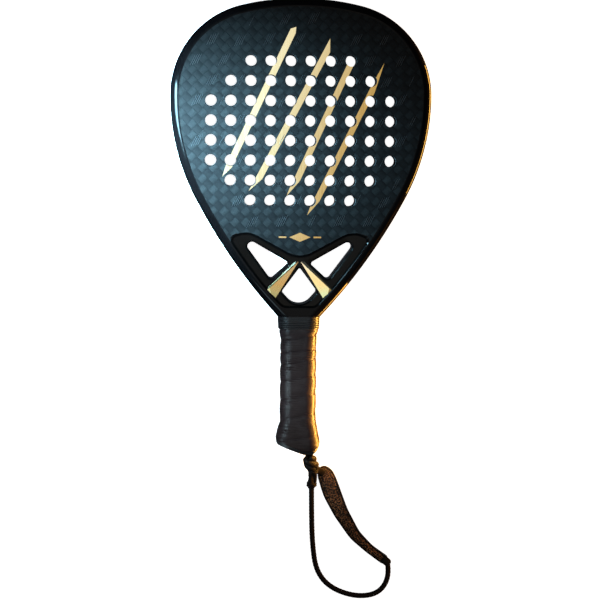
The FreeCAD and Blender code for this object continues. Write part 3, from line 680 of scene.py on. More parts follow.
def panel_outline():
    """Edge of the sunk panel, anticlockwise: along the rim, round the foot and along the gull-wing edge."""
    points, normals = head_line()
    middle = len(points) // 2
    flank = (points - normals * FOOT_EDGE)[middle:]
    dip, hump = np.array(PANEL_DIP) * MM, np.array(PANEL_HUMP) * MM
    far = HEAD_WIDTH / 2
    outer = np.array([far, hump[1] - PANEL_FALL * (far - hump[0])])
    wing = rounded_line([dip[:2], hump[:2], outer], [hump[2]])
    over = flank[:, 1] > np.interp(flank[:, 0], wing[:, 0], wing[:, 1])
    cut = int(np.argmax(~over & (np.arange(len(flank)) > 100)))
    corner = flank[cut]
    below = flank[cut:]
    foot_y = THROAT_Y + FOOT_EDGE
    run = below[below[:, 1] > foot_y + 2 * FOOT_R]
    lowest = below[np.argmin(np.abs(below[:, 1] - foot_y))]
    foot_corner = lowest + np.array([0.0, foot_y - lowest[1]])
    foot = rounded_line([run[-1], foot_corner, [0.0, foot_y]], [FOOT_R])
    knee = rounded_line([wing[wing[:, 0] < corner[0] - 2 * WING_R][-1], corner, run[6]], [WING_R])
    skip = np.linalg.norm(run - knee[-2], axis=1)
    side = run[int(np.argmin(skip)) + 1:]
    valley = rounded_line([hump[:2] * [-1, 1], dip[:2], hump[:2]], [dip[2]], 49)
    half_valley = valley[25:-1]
    top = wing[(wing[:, 0] < knee[0, 0]) & (np.arange(len(wing)) > 0)]
    right = np.concatenate([half_valley, top, knee[:-1], side, foot[1:]])
    left = right[::-1] * [-1, 1]
    loop = np.concatenate([right, left])[::-1]
    return evened(loop, 720)


def inside(points, loop):
    """True where a point lies in a closed loop: it has an odd number of the loop's edges to its right."""
    x, y = points[:, 0][:, None], points[:, 1][:, None]
    ax, ay = loop[:, 0], loop[:, 1]
    bx, by = np.roll(ax, -1), np.roll(ay, -1)
    straddles = (ay > y) != (by > y)
    rise = np.where(by == ay, 1.0, by - ay)
    return (straddles & (x < ax + (y - ay) * (bx - ax) / rise)).sum(axis=1) % 2 == 1


def panel_piece(material):
    """Sunk throat panel: a bevel and a steep step round its edge, a flat floor, and windows whose lips are
    quarter rounds from the front floor through to the back one. A hidden flange runs under the rim."""
    edge = panel_outline()
    normals = loop_normals(edge)
    inset, fall = np.array(STEP_PROFILE).T * MM
    windows = [SIDE_WINDOW, [(-x, y, r) for x, y, r in SIDE_WINDOW[::-1]], APEX_WINDOW]
    bend = np.linspace(0, math.pi / 2, 8)
    floor = FACE_Z - PANEL_SINK
    lip_out = WINDOW_LIP * (1 - np.sin(bend))
    lip_down = floor - WINDOW_LIP * (1 - np.cos(bend))
    reach = np.concatenate([lip_out, lip_out[::-1]])
    height = np.concatenate([lip_down, FACE_Z - lip_down[::-1]])
    shell = Shell()
    loops = [edge - normals * inset[-1]]
    for circles in windows:
        loop, outwards = hull_loop(circles)
        rows = loop[None] + reach[:, None, None] * outwards[None]
        shell.grid(stood(rows, height[:, None]), around=True)
        loops.append(loop + outwards * WINDOW_LIP)
    flat = np.concatenate(loops)
    starts = np.cumsum([0] + [len(loop) for loop in loops])
    edges = [(start + k, start + (k + 1) % (end - start)) for start, end in zip(starts, starts[1:])
             for k in range(end - start)]
    result = delaunay_2d_cdt([Vector(p) for p in flat], edges, [], 0, 1e-7)
    spots = np.array([v[:] for v in result[0]])
    names = np.array(result[2])
    middles = spots[names].mean(axis=1)
    keep = inside(middles, loops[0])
    for loop in loops[1:]:
        keep &= ~inside(middles, loop)
    names = names[keep]
    for z, step_z in ((floor, FACE_Z - fall), (PANEL_SINK, fall)):
        rows = edge[None] - inset[:, None, None] * normals[None]
        shell.grid(stood(rows, step_z[:, None]), around=True)
        shell.triangles(np.column_stack([spots, np.full(len(spots), z)]), names)
    out = np.array([0.0, FLANGE, FLANGE, 0.0])
    level = np.array([FACE_Z, FACE_Z - LAP, LAP, 0.0])
    rows = edge[None] + out[:, None, None] * normals[None]
    shell.grid(stood(rows, level[:, None]), around=True)
    return shell.piece("throat_panel", material, "racket", ["throat_bridge"], sharp=50.0)


def foot_piece(material):
    """Flat foot of the head between the panel and the grip: a prism with a curved upper edge."""
    edge = panel_outline()
    foot = edge[edge[:, 1] < THROAT_Y + FOOT_EDGE + FOOT_R]
    foot = foot[np.argsort(foot[:, 0])]
    points, normals = head_line()
    flank = (points - normals * FOOT_EDGE)[len(points) // 2:]
    flank = flank[(flank[:, 1] > THROAT_Y) & (flank[:, 1] < foot[-1, 1])]
    low_x = flank[-1, 0]
    base = np.array([[low_x, THROAT_Y], [-low_x, THROAT_Y]])
    loop = np.concatenate([foot, flank, base, flank[::-1] * [-1, 1]])
    shell = Shell()
    grid = stood(np.broadcast_to(loop, (2,) + loop.shape), np.array([[FACE_Z], [0.0]]))
    shell.grid(grid, around=True)
    shell.face(grid[0])
    shell.face(grid[1])
    return shell.piece("throat_foot", material, "racket")


# ---------------------------------------------------------------- face relief


def hole_centres():
    """Hole centres: each row has its count of holes about the middle line."""
    rows = []
    for row, count in enumerate(HOLE_ROWS):
        y = HOLES_MID_Y + (len(HOLE_ROWS) / 2 - 0.5 - row) * HOLE_PITCH[1]
        x = (np.arange(count) - count / 2 + 0.5) * HOLE_PITCH[0]
        rows.append(np.column_stack([x, np.full(count, y)]))
    return np.concatenate(rows)


RIB_LENGTH = 12.0 * MM
RIB_WIDTH = 0.6 * MM
RIB_HEIGHT = 0.36 * MM
RIB_GAP = 2.2 * MM
RIBS_IN_GROUP = 4
GROUP_PITCH = (28.8 * MM, 19.95 * MM)
GROUP_JITTER = 1.5 * MM
RIM_CLEAR = 13 * MM
HOLE_CLEAR = 0.6 * MM
PANEL_CLEAR = 4 * MM
SLASH_CLEAR = 4.6 * MM
LOWEST_RIB = -40 * MM
EMBLEM_AT = -9 * MM
EMBLEM_CLEAR = (24 * MM, 8 * MM)


def rib_places():
    """Middles of the raised ribs: groups staggered by rows, kept off holes, foils and edges."""
    columns, rows = np.meshgrid(np.arange(-5, 6), np.arange(-7, 10), indexing="ij")
    x = (columns + 0.5 * (rows % 2)) * GROUP_PITCH[0] + 0.4 * GROUP_PITCH[0]
    y = HOLES_MID_Y + (rows - 0.5) * GROUP_PITCH[1]
    jitter = np.random.default_rng(4).uniform(-GROUP_JITTER, GROUP_JITTER, x.shape + (2,))
    centres = (np.stack([x, y], axis=2) + jitter).reshape(-1, 2)
    lean = np.array([math.sin(SLASH_LEAN), math.cos(SLASH_LEAN)])
    spread = (np.arange(RIBS_IN_GROUP) - (RIBS_IN_GROUP - 1) / 2) * RIB_GAP
    offsets = np.column_stack([spread, 0.25 * spread])
    middles = (centres[:, None] + offsets[None]).reshape(-1, 2)
    probes = middles[:, None] + np.linspace(-0.5, 0.5, 5)[None, :, None] * RIB_LENGTH * lean
    flat = probes.reshape(-1, 2)
    outline = evened(head_line()[0], 500)
    clear = np.linalg.norm(flat[:, None] - outline[None], axis=2).min(axis=1) > RIM_CLEAR
    clear &= inside(flat, outline)
    clear &= np.linalg.norm(flat[:, None] - hole_centres()[None], axis=2).min(axis=1) > HOLE_R + HOLE_CLEAR
    panel = panel_outline()
    clear &= np.linalg.norm(flat[:, None] - panel[None, ::3], axis=2).min(axis=1) > PANEL_CLEAR
    clear &= ~inside(flat, panel)
    clear &= flat[:, 1] > LOWEST_RIB
    off_emblem = np.abs(flat - [0.0, EMBLEM_AT]) >= EMBLEM_CLEAR
    clear &= off_emblem.any(axis=1)
    for top, foot in SLASHES:
        a, b = np.array(top) * MM, np.array(foot) * MM
        share = np.clip(((flat - a) @ (b - a)) / ((b - a) @ (b - a)), 0, 1)
        clear &= np.linalg.norm(flat - a - share[:, None] * (b - a), axis=1) > SLASH_CLEAR
    kept = clear.reshape(probes.shape[:2]).all(axis=1)
    return middles[kept]


def rib_piece(name, material, level):
    """Raised ribs: each a spindle whose width and height fall to nothing at its two ends, half sunk
    in the face; the height follows the square root of one minus the share along it squared."""
    lean = np.array([math.sin(SLASH_LEAN), math.cos(SLASH_LEAN)])
    side = np.array([lean[1], -lean[0]])
    along = np.sin(np.linspace(-math.pi / 2, math.pi / 2, 9))
    swell = np.sqrt(np.maximum(1 - along**4, 0))
    turn = np.linspace(0, 2 * math.pi, 6, endpoint=False)
    across = swell[:, None] * np.cos(turn)[None] * RIB_WIDTH / 2
    height = swell[:, None] * np.sin(turn)[None] * RIB_HEIGHT
    lengthwise = np.broadcast_to(along[:, None] * RIB_LENGTH / 2, across.shape)
    plan = lengthwise[..., None] * lean + across[..., None] * side
    shell = Shell()
    for middle in rib_places():
        shell.grid(stood(plan + middle, height + level), around=True)
    return shell.piece(name, material, "racket", sharp=60.0, weld=1e-7)


# ---------------------------------------------------------------- handle

# The handle along its length: y, width and thickness in millimetres.
GRIP_STATIONS = np.array((
    (-88.0, 38.6, 34.8), (-100.5, 38.8, 34.8), (-104.0, 38.2, 34.6), (-107.5, 36.6, 33.5),
    (-112.0, 35.8, 33.0), (-193.0, 35.8, 33.0), (-199.0, 38.6, 34.2), (-205.0, 41.4, 35.9),
    (-211.0, 43.0, 36.9), (-240.0, 43.2, 37.0),
)) * MM
GRIP_CORNER = 11.4 * MM
LAYERS = 1.5 * MM
SEAMS_Y = np.array((-98.0, -106.5, -120.4, -129.5, -145.5, -163.9, -183.4, -205.5, -226.0)) * MM
WRAP_TOP = -99.0 * MM
WRAP_ROWS, WRAP_COLUMNS = 300, 168
WRAP_PROUD = 0.62 * MM
BUTT_Y = -216 * MM
BUTT_SIDES = (-21.4 * MM, 21.1 * MM)
BUTT_LIFT = 3.6 * MM
BUTT_ROUND = 9 * MM
BUTT_FLAT = 9.5 * MM
# How far in and how far up each ring of the wrap's turned-in end goes, in millimetres.
TURNED_IN = ((0.35, -0.25), (0.9, -0.1), (1.6, 0.6))
TUCK = 1.4
SEAM_DEPTH, STEP_DEPTH = 1.15, 0.45
CREASE_DEPTH, CREASE_PITCH = 0.17, 2.9
FINE_DEPTH, FINE_PITCH = 0.09, 1.7
BED_STEP = 25
# The butt's lower edge: circles that it runs under, above the butt's end, in millimetres.
BUTT_LINE = ((-43, 60, 1.0), (-17.4, 14.3, 4.2), (9.3, 12.0, 12.0), (43, 60, 1.0))
BUTT_LINE_TOP = 16 * MM
COLLAR_FOOT = -101.2 * MM
COLLAR_RINGS = 6
RING_PROUD, RING_TAPER, RING_GROOVE = 1.75, 0.85, 1.0


def grip_size(y):
    """Half width and half thickness of the wrapped grip at a place along it."""
    fine = np.linspace(-245 * MM, -85 * MM, 641)
    kernel = np.hanning(17)
    kernel /= kernel.sum()
    sizes = []
    for column in (1, 2):
        order = np.argsort(GRIP_STATIONS[:, 0])
        plain = np.interp(fine, GRIP_STATIONS[order, 0], GRIP_STATIONS[order, column])
        soft = np.convolve(np.pad(plain, 8, mode="edge"), kernel, mode="valid")
        sizes.append(np.interp(y, fine, soft) / 2)
    return sizes


def rounded_section(turn, half_x, half_z, corner):
    """Point and outward normal on a rounded rectangle, by angle: each corner's arc takes a fixed
    share of the turn and the flats take the rest."""
    quarter = np.floor(turn / (math.pi / 2))
    part = turn / (math.pi / 2) - quarter
    flat_share = 0.28
    bent = np.clip((part - flat_share) / (1 - 2 * flat_share), 0, 1) * math.pi / 2
    first = np.clip(part / flat_share, 0, 1)
    second = np.clip((part - 1 + flat_share) / flat_share, 0, 1)
    even = quarter % 2 == 0
    long_a = np.where(even, half_z, half_x) - corner
    long_b = np.where(even, half_x, half_z) - corner
    u = long_b * (1 - second) + corner * np.cos(bent)
    v = long_a * first + corner * np.sin(bent)
    angle = quarter * math.pi / 2
    x = u * np.cos(angle) - v * np.sin(angle)
    z = u * np.sin(angle) + v * np.cos(angle)
    way = angle + bent
    return x, z, np.cos(way), np.sin(way)


def butt_edge(x):
    """Lower edge of the wrap above the butt's end, by place across: a heel arc, a slope and a toe arc."""
    loop, _ = hull_loop(BUTT_LINE, 1200)
    low = loop[loop[:, 1] < BUTT_LINE_TOP]
    low = low[np.argsort(low[:, 0])]
    return HEEL_Y + np.interp(x, low[:, 0], low[:, 1])


def wrap_piece(material):
    """Overgrip: the grip's rounded rectangle carried down the handle, lowered along a spiral seam.
    Between seams the tape bulges by a root of a sine, its lower edge steps down, and fine creases
    run round it; the lower end follows the slanted butt and turns in under itself."""
    turn = np.linspace(0, 2 * math.pi, WRAP_COLUMNS, endpoint=False)
    half_x, half_z = grip_size(np.array(BUTT_Y))
    x_end = rounded_section(turn, half_x, half_z, GRIP_CORNER)[0]
    end = butt_edge(np.clip(x_end, *BUTT_SIDES)) + BUTT_LIFT
    share = np.linspace(0, 1, WRAP_ROWS)[:, None]
    y = WRAP_TOP + share * (end[None] - WRAP_TOP)
    half_x, half_z = grip_size(y)
    above = np.clip(y - HEEL_Y, 0, BUTT_ROUND)
    side_reach = BUTT_FLAT + np.sqrt(np.maximum(BUTT_ROUND**2 - (BUTT_ROUND - above) ** 2, 0))
    half_z = np.minimum(half_z, side_reach)
    turns = np.broadcast_to(turn[None], y.shape)
    x, z, nx, nz = rounded_section(turns, half_x, half_z, GRIP_CORNER)
    order = np.argsort(SEAMS_Y)
    count = np.interp(y, SEAMS_Y[order], np.arange(len(SEAMS_Y) - 1, -1, -1))
    phase = (count - turns / (2 * math.pi)) % 1.0
    bulge = np.sin(math.pi * phase) ** 0.4
    fade = np.clip(share / 0.02, 0, 1) * np.clip((1 - share) / 0.03, 0, 1)
    wobble = np.sin(3 * turns + 90 * y / MM / 100) + 0.6 * np.sin(5 * turns - 1.7 + y / MM / 7)
    patches = 0.5 + 0.5 * np.sin(2 * turns + y / MM / 5.0)
    crease = np.sin(y / MM * 2 * math.pi / CREASE_PITCH + 1.3 * wobble) * patches
    fine = np.sin(y / MM * 2 * math.pi / FINE_PITCH - 1.1 * wobble + 2.0)
    ripple = CREASE_DEPTH * (1 - crease) + FINE_DEPTH * (1 - fine)
    drop = (SEAM_DEPTH * (1 - bulge) + STEP_DEPTH * phase + ripple) * MM * fade - WRAP_PROUD
    x = x - nx * drop
    z = z - nz * drop
    grid = np.stack([x, y, z + MID_Z], axis=2)
    inwards = np.stack([nx, np.zeros_like(nx), nz], axis=2)
    turned_in = [grid[-1] - inwards[-1] * inward * MM + [0.0, lift * MM, 0.0] for inward, lift in TURNED_IN]
    tucked = grid[0] - inwards[0] * TUCK * MM
    grid = np.concatenate([tucked[None], grid, np.array(turned_in)])
    bed = np.stack([x - nx * LAYERS, y, z - nz * LAYERS + MID_Z], axis=2)[::-BED_STEP]
    shell = Shell()
    shell.grid(np.concatenate([grid, bed]), along=True, around=True, lay=(0.5 * MM, 1.0 / WRAP_COLUMNS))
    replaced = ["overgrip", "base_grip"]
    return shell.piece("overgrip_wrap", material, "racket", replaced, sharp=70.0)


def collar_piece(material):
    """Rubber collar: six rounded rings, each a half ellipse proud of a shallow groove, tapering down."""
    columns = 144
    top = THROAT_Y - 0.05 * MM
    share = np.linspace(0, 1, 85)
    y = top + share * (COLLAR_FOOT - top)
    ring = (share * COLLAR_RINGS) % 1.0
    puff = np.sqrt(np.maximum(1 - (2 * ring - 1) ** 4, 0))
    proud = (RING_PROUD - RING_TAPER * share - RING_GROOVE * (1 - puff)) * MM
    proud[-3:] = (0.5 * MM, 0.0, -1.2 * MM)
    turn = np.linspace(0, 2 * math.pi, columns, endpoint=False)
    half_x, half_z = grip_size(y[:, None])
    half_x = half_x + proud[:, None]
    half_z = np.minimum(half_z + proud[:, None], MID_Z - 0.5 * MM)
    turns = np.broadcast_to(turn[None], (len(y), columns))
    x, z, _, _ = rounded_section(turns, half_x, half_z, GRIP_CORNER)
    grid = np.stack([x, np.broadcast_to(y[:, None], x.shape), z + MID_Z], axis=2)
    lid = grid[0] * [0.7, 1.0, 0.7] + [0, 0, 0.3 * MID_Z]
    grid = np.concatenate([lid[None], grid])
    shell = Shell()
    shell.grid(grid, around=True, lay=(0.15 * MM, 1.0 / columns))
    shell.grid(grid[[-1, 0]], around=True)
    return shell.piece("collar_rings", material, "racket", ["grip_collar"], sharp=60.0)


# ---------------------------------------------------------------- strap

# Places in millimetres.
WHIP_TOP = (11.4, -231.2, 17.0)
WHIP_END = (16.2, -242.5, 11.5)
BUNDLE_TOP = (16.2, -241.5, 11.0)
KNOT_END = (15.1, -263.5, 5.4)
PIN = (11.5, -219.75, 19.0)
LOOP_R = 3.55
LOOP_LEFT = ((12.0, -238.0, 14.6), (9.6, -230.0, 17.6), (8.1, -224.5, 18.9))
LOOP_RIGHT = ((15.0, -224.5, 18.9), (14.8, -230.0, 17.6), (14.6, -238.0, 14.6))
TONGUE = (
    (15.8, -241.0, 11.6), (18.5, -243.6, 10.2), (23.0, -246.0, 6.4), (27.5, -249.0, 3.8), (30.0, -252.5, 2.9),
)
UPPER_BINDING = (16.3, -243.2, 10.9), (16.1, -246.4, 10.0)
LOWER_BINDING = (15.2, -257.6, 7.0), (15.1, -261.4, 5.9)
# The pad's middle line and half width.
PAD_STATIONS = (
    (27.5, -246.5, 5.6), (31.5, -255.0, 7.4), (35.6, -268.0, 7.9), (45.0, -288.4, 6.3),
    (59.3, -311.4, 4.6), (74.0, -325.4, 3.4), (91.0, -337.6, 3.6),
)
PAD_HEAD, PAD_FOOT = 7.5 * MM, 3.0 * MM
PAD_RISE, PAD_RISE_RUN = 4.0 * MM, 20 * MM
PAD_LOW = 0.35 * MM
PAD_CROWN = 5.0 * MM
NET_PITCH = 1.9 * MM
NET_DEPTH, NET_SHARE = 0.34, 0.58
CHANNEL_DEPTH, CHANNEL_SHARE, CHANNEL_WIDTH = 0.75, 0.66, 0.55 * MM
ROLL_STEPS = 700
ROLL_HALF = (1.35 * MM, 1.95 * MM)
ROLL_LIFT = 2.45 * MM
TAB_MIDDLE = (91.2, -338.0, 3.1)
TAB_HALF = (5.2, 4.0, 2.75)
TAB_SQUARENESS = 0.7
TIP_SHARES = (0.0, 0.45, 0.8)
TIP_REACH = 0.6


def tube_frame(path):
    """Unit tangent, side and upright of each point of a path, turned as little as possible along it."""
    tangent = unit(np.gradient(path, axis=0))
    side = np.empty_like(path)
    flat = np.cross(tangent[0], [0.0, 0.0, 1.0])
    side[0] = unit(flat if np.linalg.norm(flat) > 0.1 else np.cross(tangent[0], [0.0, 1.0, 0.0]))
    for k in range(1, len(path)):
        side[k] = unit(side[k - 1] - tangent[k] * (side[k - 1] @ tangent[k]))
    return tangent, side, np.cross(side, tangent)


def tube_grid(path, radius, columns=20, flat=1.0, relief=None):
    """Grid of a round or flattened tube: at each point of the path a circle across it, its upright
    half-axis times flat, and its radius times one plus relief."""
    tangent, side, upright = tube_frame(path)
    turn = np.linspace(0, 2 * math.pi, columns, endpoint=False)
    radii = np.broadcast_to(np.asarray(radius, float).reshape(-1, 1), (len(path), columns))
    if relief is not None:
        radii = radii * (1 + relief)
    beside = side[:, None] * np.cos(turn)[None, :, None]
    above = upright[:, None] * (flat * np.sin(turn))[None, :, None]
    return path[:, None] + (beside + above) * radii[..., None]


def tube_tip(centre, ring, way):
    """Rings that close a tube's end, from the outermost in: each narrows as a circle's section does."""
    size = np.linalg.norm(ring[0] - centre)
    return [centre + (ring - centre) * math.sqrt(1 - (1 - share) ** 2) + way * (1 - share) * size * TIP_REACH
            for share in TIP_SHARES]


def tube_piece(name, path, radius, material, replaced=(), columns=20, flat=1.0, relief=None):
    """A closed tube along a path, with its two ends rounded over."""
    length = float(np.linalg.norm(np.diff(path, axis=0), axis=1).sum())
    grid = tube_grid(path, radius, columns, flat, relief)
    tangent = tube_frame(path)[0]
    first = tube_tip(path[0], grid[0], -tangent[0])
    last = tube_tip(path[-1], grid[-1], tangent[-1])[::-1]
    shell = Shell()
    grid = np.concatenate([np.array(first), grid, np.array(last)])
    shell.grid(grid, around=True, lay=(length / len(path), 1.0 / columns))
    return shell.piece(name, material, "strap", replaced, sharp=75.0)


def braid_relief(path, columns, pitch, strands, depth):
    """Two sets of spirals, one each way, whose product gives the diamonds of a braid."""
    reach = np.concatenate([[0.0], np.cumsum(np.linalg.norm(np.diff(path, axis=0), axis=1))])[:, None]
    turn = np.linspace(0, 2 * math.pi, columns, endpoint=False)[None]
    one = np.sin(strands * turn + 2 * math.pi * reach / pitch)
    other = np.sin(strands * turn - 2 * math.pi * reach / pitch)
    return depth * np.abs(one * other) - depth


def spiral(start, end, radius, turns, count, phase=0.0):
    """A helix about the line from start to end: how many turns it makes and the share of one it starts at."""
    start, end = np.asarray(start) * MM, np.asarray(end) * MM
    axis = unit(end - start)
    side = unit(np.cross(axis, [0.0, 0.0, 1.0]))
    upright = np.cross(side, axis)
    share = np.linspace(0, 1, count)[:, None]
    angle = (share * turns + phase) * 2 * math.pi
    return start + (end - start) * share + radius * (np.cos(angle) * side + np.sin(angle) * upright)


def softened(points, count, width=9):
    """A path through given points, evenly spaced and smoothed by a moving window, ends held."""
    line = evened(np.array(points, float) * MM, count, closed=False)
    kernel = np.hanning(width + 2)[1:-1]
    kernel /= kernel.sum()
    half = width // 2
    before = 2 * line[0] - line[1 : half + 1][::-1]
    after = 2 * line[-1] - line[-half - 1 : -1][::-1]
    padded = np.concatenate([before, line, after])
    return np.stack([np.convolve(column, kernel, mode="valid") for column in padded.T], axis=1)


def anchor_loop(material):
    """Flat loop of webbing that goes up one side of the pin, round it and down the other."""
    x, y, z = PIN
    bend = np.linspace(math.pi, 0, 15)
    over = [(x + LOOP_R * math.cos(a), y + LOOP_R * math.sin(a), z) for a in bend]
    path = softened([*LOOP_LEFT, *over, *LOOP_RIGHT], 90, 7)
    return tube_piece("anchor_loop", path, 1.15 * MM, material, ["strap_eye"], 24, 2.7)


def twisted_bundle(name, start, end, reach, radius, turns, material, replaced):
    """Three cords laid round each other: helices a third of a turn apart about one axis, drawn in at both
    ends."""
    shell = Shell()
    columns, rows = 24, 46
    axis = unit(np.asarray(end) * MM - np.asarray(start) * MM)
    pinch = 1 - 0.22 * (2 * np.linspace(0, 1, rows)[:, None] - 1) ** 4
    for strand in range(3):
        path = spiral(start, end, reach * pinch, turns, rows, strand / 3)
        relief = braid_relief(path, columns, 5.0 * MM, 4, 0.09)
        grid = tube_grid(path, radius * pinch[:, 0], columns, 1.0, relief)
        first = path[0] + (grid[0] - path[0]) * 0.45 - axis * radius * 0.45
        last = path[-1] + (grid[-1] - path[-1]) * 0.45 + axis * radius * 0.45
        grid = np.concatenate([first[None], grid, last[None]])
        shell.grid(grid, around=True, lay=(0.3 * MM, 1 / columns))
        shell.face(grid[0])
        shell.face(grid[-1])
    return shell.piece(name, material, "strap", [replaced], sharp=75.0)


def binding_coil(name, start, end, reach, radius, turns, material):
    """A short coil of thin cord that binds a bundle."""
    path = spiral(start, end, reach, turns, int(34 * turns) + 8)
    relief = braid_relief(path, 14, 3.2 * MM, 3, 0.08)
    return tube_piece(name, path, radius, material, (), 14, 1.0, relief)


def pad_plan(count):
    """Middle points, side directions and half widths of the pad, with both ends closing in a half ellipse."""
    line = softened(PAD_STATIONS, count, 41)
    middle = np.column_stack([line[:, :2], np.zeros(count)])
    tangent = unit(np.gradient(middle, axis=0))
    side = np.column_stack([tangent[:, 1], -tangent[:, 0], np.zeros(count)])
    reach = np.concatenate([[0.0], np.cumsum(np.linalg.norm(np.diff(middle, axis=0), axis=1))])
    head = np.sqrt(np.maximum(1 - np.clip(1 - reach / PAD_HEAD, 0, 1) ** 2, 0))
    foot = np.sqrt(np.maximum(1 - np.clip(1 - (reach[-1] - reach) / PAD_FOOT, 0, 1) ** 2, 0))
    width = line[:, 2] * head * foot
    middle = middle - tangent[0] * PAD_RISE * np.clip(1 - reach / PAD_RISE_RUN, 0, 1)[:, None]
    return middle, side, width, reach


def pad_piece(material):
    """Padded wrist band: a closed crowned form. Its height across follows the square root of one minus the
    share across to the fourth, with a sewn channel near each edge and a small diamond mesh between."""
    rows, columns = 360, 49
    middle, side, width, reach = pad_plan(rows)
    across = np.sin(np.linspace(-math.pi / 2, math.pi / 2, columns))[None]
    swell = np.sqrt(np.maximum(1 - across**4, 0))
    thick = (PAD_CROWN - PAD_LOW) / 2
    ends = np.minimum(1, width / (2.6 * MM))[:, None]
    channel = np.exp(-(((np.abs(across) - CHANNEL_SHARE) * width[:, None] / CHANNEL_WIDTH) ** 2))
    centre = 1 / (1 + np.exp((np.abs(across) - NET_SHARE) * 30))
    u = (across * width[:, None] + reach[:, None]) / NET_PITCH
    v = (across * width[:, None] - reach[:, None]) / NET_PITCH
    net = np.abs(np.sin(math.pi * u) * np.sin(math.pi * v))
    top = thick * (1 + swell * ends) - (CHANNEL_DEPTH * channel + NET_DEPTH * net * centre) * MM * ends
    low = thick * (1 - swell * ends)
    plan = middle[:, None] + side[:, None] * (across * width[:, None])[..., None]
    front = plan + (PAD_LOW + top)[..., None] * [0, 0, 1]
    back = plan + (PAD_LOW + low)[..., None] * [0, 0, 1]
    shell = Shell()
    shell.grid(np.concatenate([front, back[:, ::-1]], axis=1), around=True, lay=(0.35 * MM, 0.35 * MM))
    replaced = ["pad_face", "pad_foam", "pad_lining"]
    made = shell.piece("pad_cushion", material, "strap", replaced, sharp=80.0)
    return made


def pad_binding(material):
    """Rolled binding: a slightly flattened tube along the pad's outline, tied where its ends meet."""
    middle, side, width, _ = pad_plan(260)
    reach = (width + 0.05 * MM)[:, None]
    lift = np.array([0, 0, ROLL_LIFT])
    right = middle + side * reach + lift
    left = middle - side * reach + lift
    loop = evened(np.concatenate([right, left[::-1]]), ROLL_STEPS)
    tangent = unit(np.roll(loop, -2, axis=0) - np.roll(loop, 2, axis=0))
    out = np.column_stack([tangent[:, 1], -tangent[:, 0], np.zeros(len(loop))])
    turn = np.linspace(0, 2 * math.pi, 14, endpoint=False)
    reach = np.arange(ROLL_STEPS)[:, None] * np.linalg.norm(loop[1] - loop[0])
    ribs = 1 + 0.03 * np.sin(reach / (1.3 * MM) * 2 * math.pi + turn[None])
    grid = (loop[:, None] + out[:, None] * (ROLL_HALF[0] * ribs * np.cos(turn))[..., None]
            + np.array([0, 0, 1.0]) * (ROLL_HALF[1] * ribs * np.sin(turn))[..., None])
    shell = Shell()
    shell.grid(grid, along=True, around=True, lay=(0.4 * MM, 1 / 14))
    return shell.piece("pad_roll", material, "strap", ["pad_binding"], sharp=80.0)


def pad_tongue(material):
    """Flat webbing from the bundle down to the pad."""
    path = softened(TONGUE, 60, 15)
    return tube_piece("pad_strap", path, 3.9 * MM, material, ["pad_tongue"], 28, 0.30)


def pad_tab(material):
    """Folded webbing tip where the cord enters the pad: a squared ellipsoid with fold lines."""
    u = np.linspace(-math.pi / 2, math.pi / 2, 27)[:, None]
    v = np.linspace(0, 2 * math.pi, 48, endpoint=False)[None]
    (cu, su), (cv, sv) = (
        [np.sign(part) * np.abs(part) ** TAB_SQUARENESS for part in (np.cos(angle), np.sin(angle))]
        for angle in (u, v)
    )
    fold = 1 - 0.04 * np.cos(u * 14)
    way, across = unit(np.array([0.82, -0.57])), unit(np.array([0.57, 0.82]))
    long, wide = TAB_HALF[0] * cu * cv * fold, TAB_HALF[1] * cu * sv * fold
    x = TAB_MIDDLE[0] + long * way[0] + wide * across[0]
    y = TAB_MIDDLE[1] + long * way[1] + wide * across[1]
    z = np.broadcast_to(TAB_MIDDLE[2] + TAB_HALF[2] * su, x.shape)
    shell = Shell()
    shell.grid(np.stack([x, y, z], axis=2) * MM, around=True, lay=(0.5 * MM, 1 / 48))
    return shell.piece("pad_tip", material, "strap", ["pad_end_tab"], sharp=80.0)


def cord_piece(material):
    """Wrist cord: a braided tube along the route's own smooth spline."""
    path = evened(spline_points(CORD_ROUTE), 520, closed=False)
    relief = braid_relief(path, 28, 7.0 * MM, 4, 0.10)
    radius = CORD_D / 2 * 1.03
    made = tube_piece("wrist_cord", path, radius, material, ["strap_cord"], 28, 1.0, relief)
    return made


# ---------------------------------------------------------------- build


def coat(name, material):
    """Gives a carried-over CAD node its finish."""
    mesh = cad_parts[name].data
    mesh.materials.clear()
    mesh.materials.append(material)


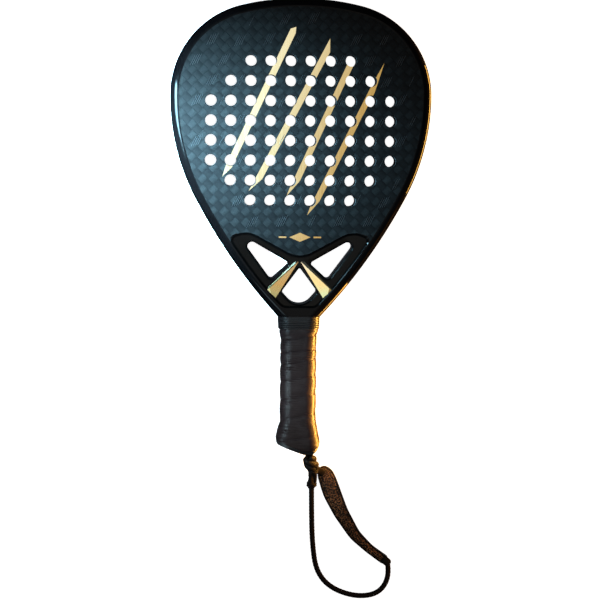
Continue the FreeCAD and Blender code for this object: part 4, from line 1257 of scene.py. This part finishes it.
def build():
    make_camera()
    make_stage()
    webbing = cord_finish("cord_weave", (0.0036, 0.0027, 0.0024))
    others = [
        anchor_loop(webbing),
        twisted_bundle("cord_twist", WHIP_TOP, WHIP_END, 3.9 * MM, 3.7 * MM, 0.62, webbing, "strap_whipping"),
        twisted_bundle("cord_bundle", BUNDLE_TOP, KNOT_END, 2.5 * MM, 2.45 * MM, 0.3, webbing, "strap_knot"),
        binding_coil("upper_binding", *UPPER_BINDING, 4.5 * MM, 1.1 * MM, 1.6, webbing),
        binding_coil("lower_binding", *LOWER_BINDING, 4.3 * MM, 1.0 * MM, 2.0, webbing),
    ]
    edge = edge_finish()
    others += [pad_piece(pad_finish()), pad_binding(edge), pad_tongue(edge), pad_tab(edge)]
    cord_piece(webbing)
    face = face_finish()
    rim = lacquer_finish("rim_lacquer", (0.0022, 0.0018, 0.0020), 0.11, 1.15)
    panel = lacquer_finish("panel_lacquer", (0.0012, 0.0010, 0.0010), 0.09, 1.19)
    rib = lacquer_finish("rib_lacquer", (0.020, 0.022, 0.024), 0.34, 1.33)
    foil = foil_finish()
    gold = trim_finish()
    grip = grip_finish()
    foam = foam_finish("core_foam", (0.07, 0.075, 0.08))
    shell_foam = foam_finish("handle_foam", (0.05, 0.05, 0.055))
    cloth = cloth_finish("grip_tape", (0.016, 0.014, 0.013), 1.0 * MM)
    rubber = plain_finish("collar_rubber", (0.010, 0.0085, 0.009), 0.38, IOR=1.28)
    steel = plain_finish("wire_steel", (0.5, 0.5, 0.5), 0.3, Metallic=1.0)
    cap = plain_finish("cap_plastic", (0.010, 0.010, 0.011), 0.45)
    shaft = plain_finish("shaft_laminate", (0.012, 0.012, 0.013), 0.4)
    finishes = dict(
        frame_tube=rim, throat_bridge=panel, eva_core=foam, face_skin_front=face, face_skin_back=face,
        foil_slashes_front=foil, foil_slashes_back=foil, foil_emblem_front=foil, handle_shaft=shaft,
        handle_shell_front=shell_foam, handle_shell_back=shell_foam, base_grip=grip, overgrip=grip,
        grip_end_tape=cloth, grip_collar=rubber, butt_cap=cap, cap_staples=steel, cord_anchor_pin=steel,
    )
    for side in ("front_left", "front_right", "back_left", "back_right"):
        finishes["throat_wedge_" + side] = gold
    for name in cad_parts:
        coat(name, finishes.get(name, cloth))
    rim_piece(rim)
    panel_piece(panel)
    foot_piece(rim)
    rib_piece("face_ribs_front", rib, FACE_Z)
    rib_piece("face_ribs_back", rib, 0.0)
    wrap_piece(grip)
    collar_piece(rubber)


build()
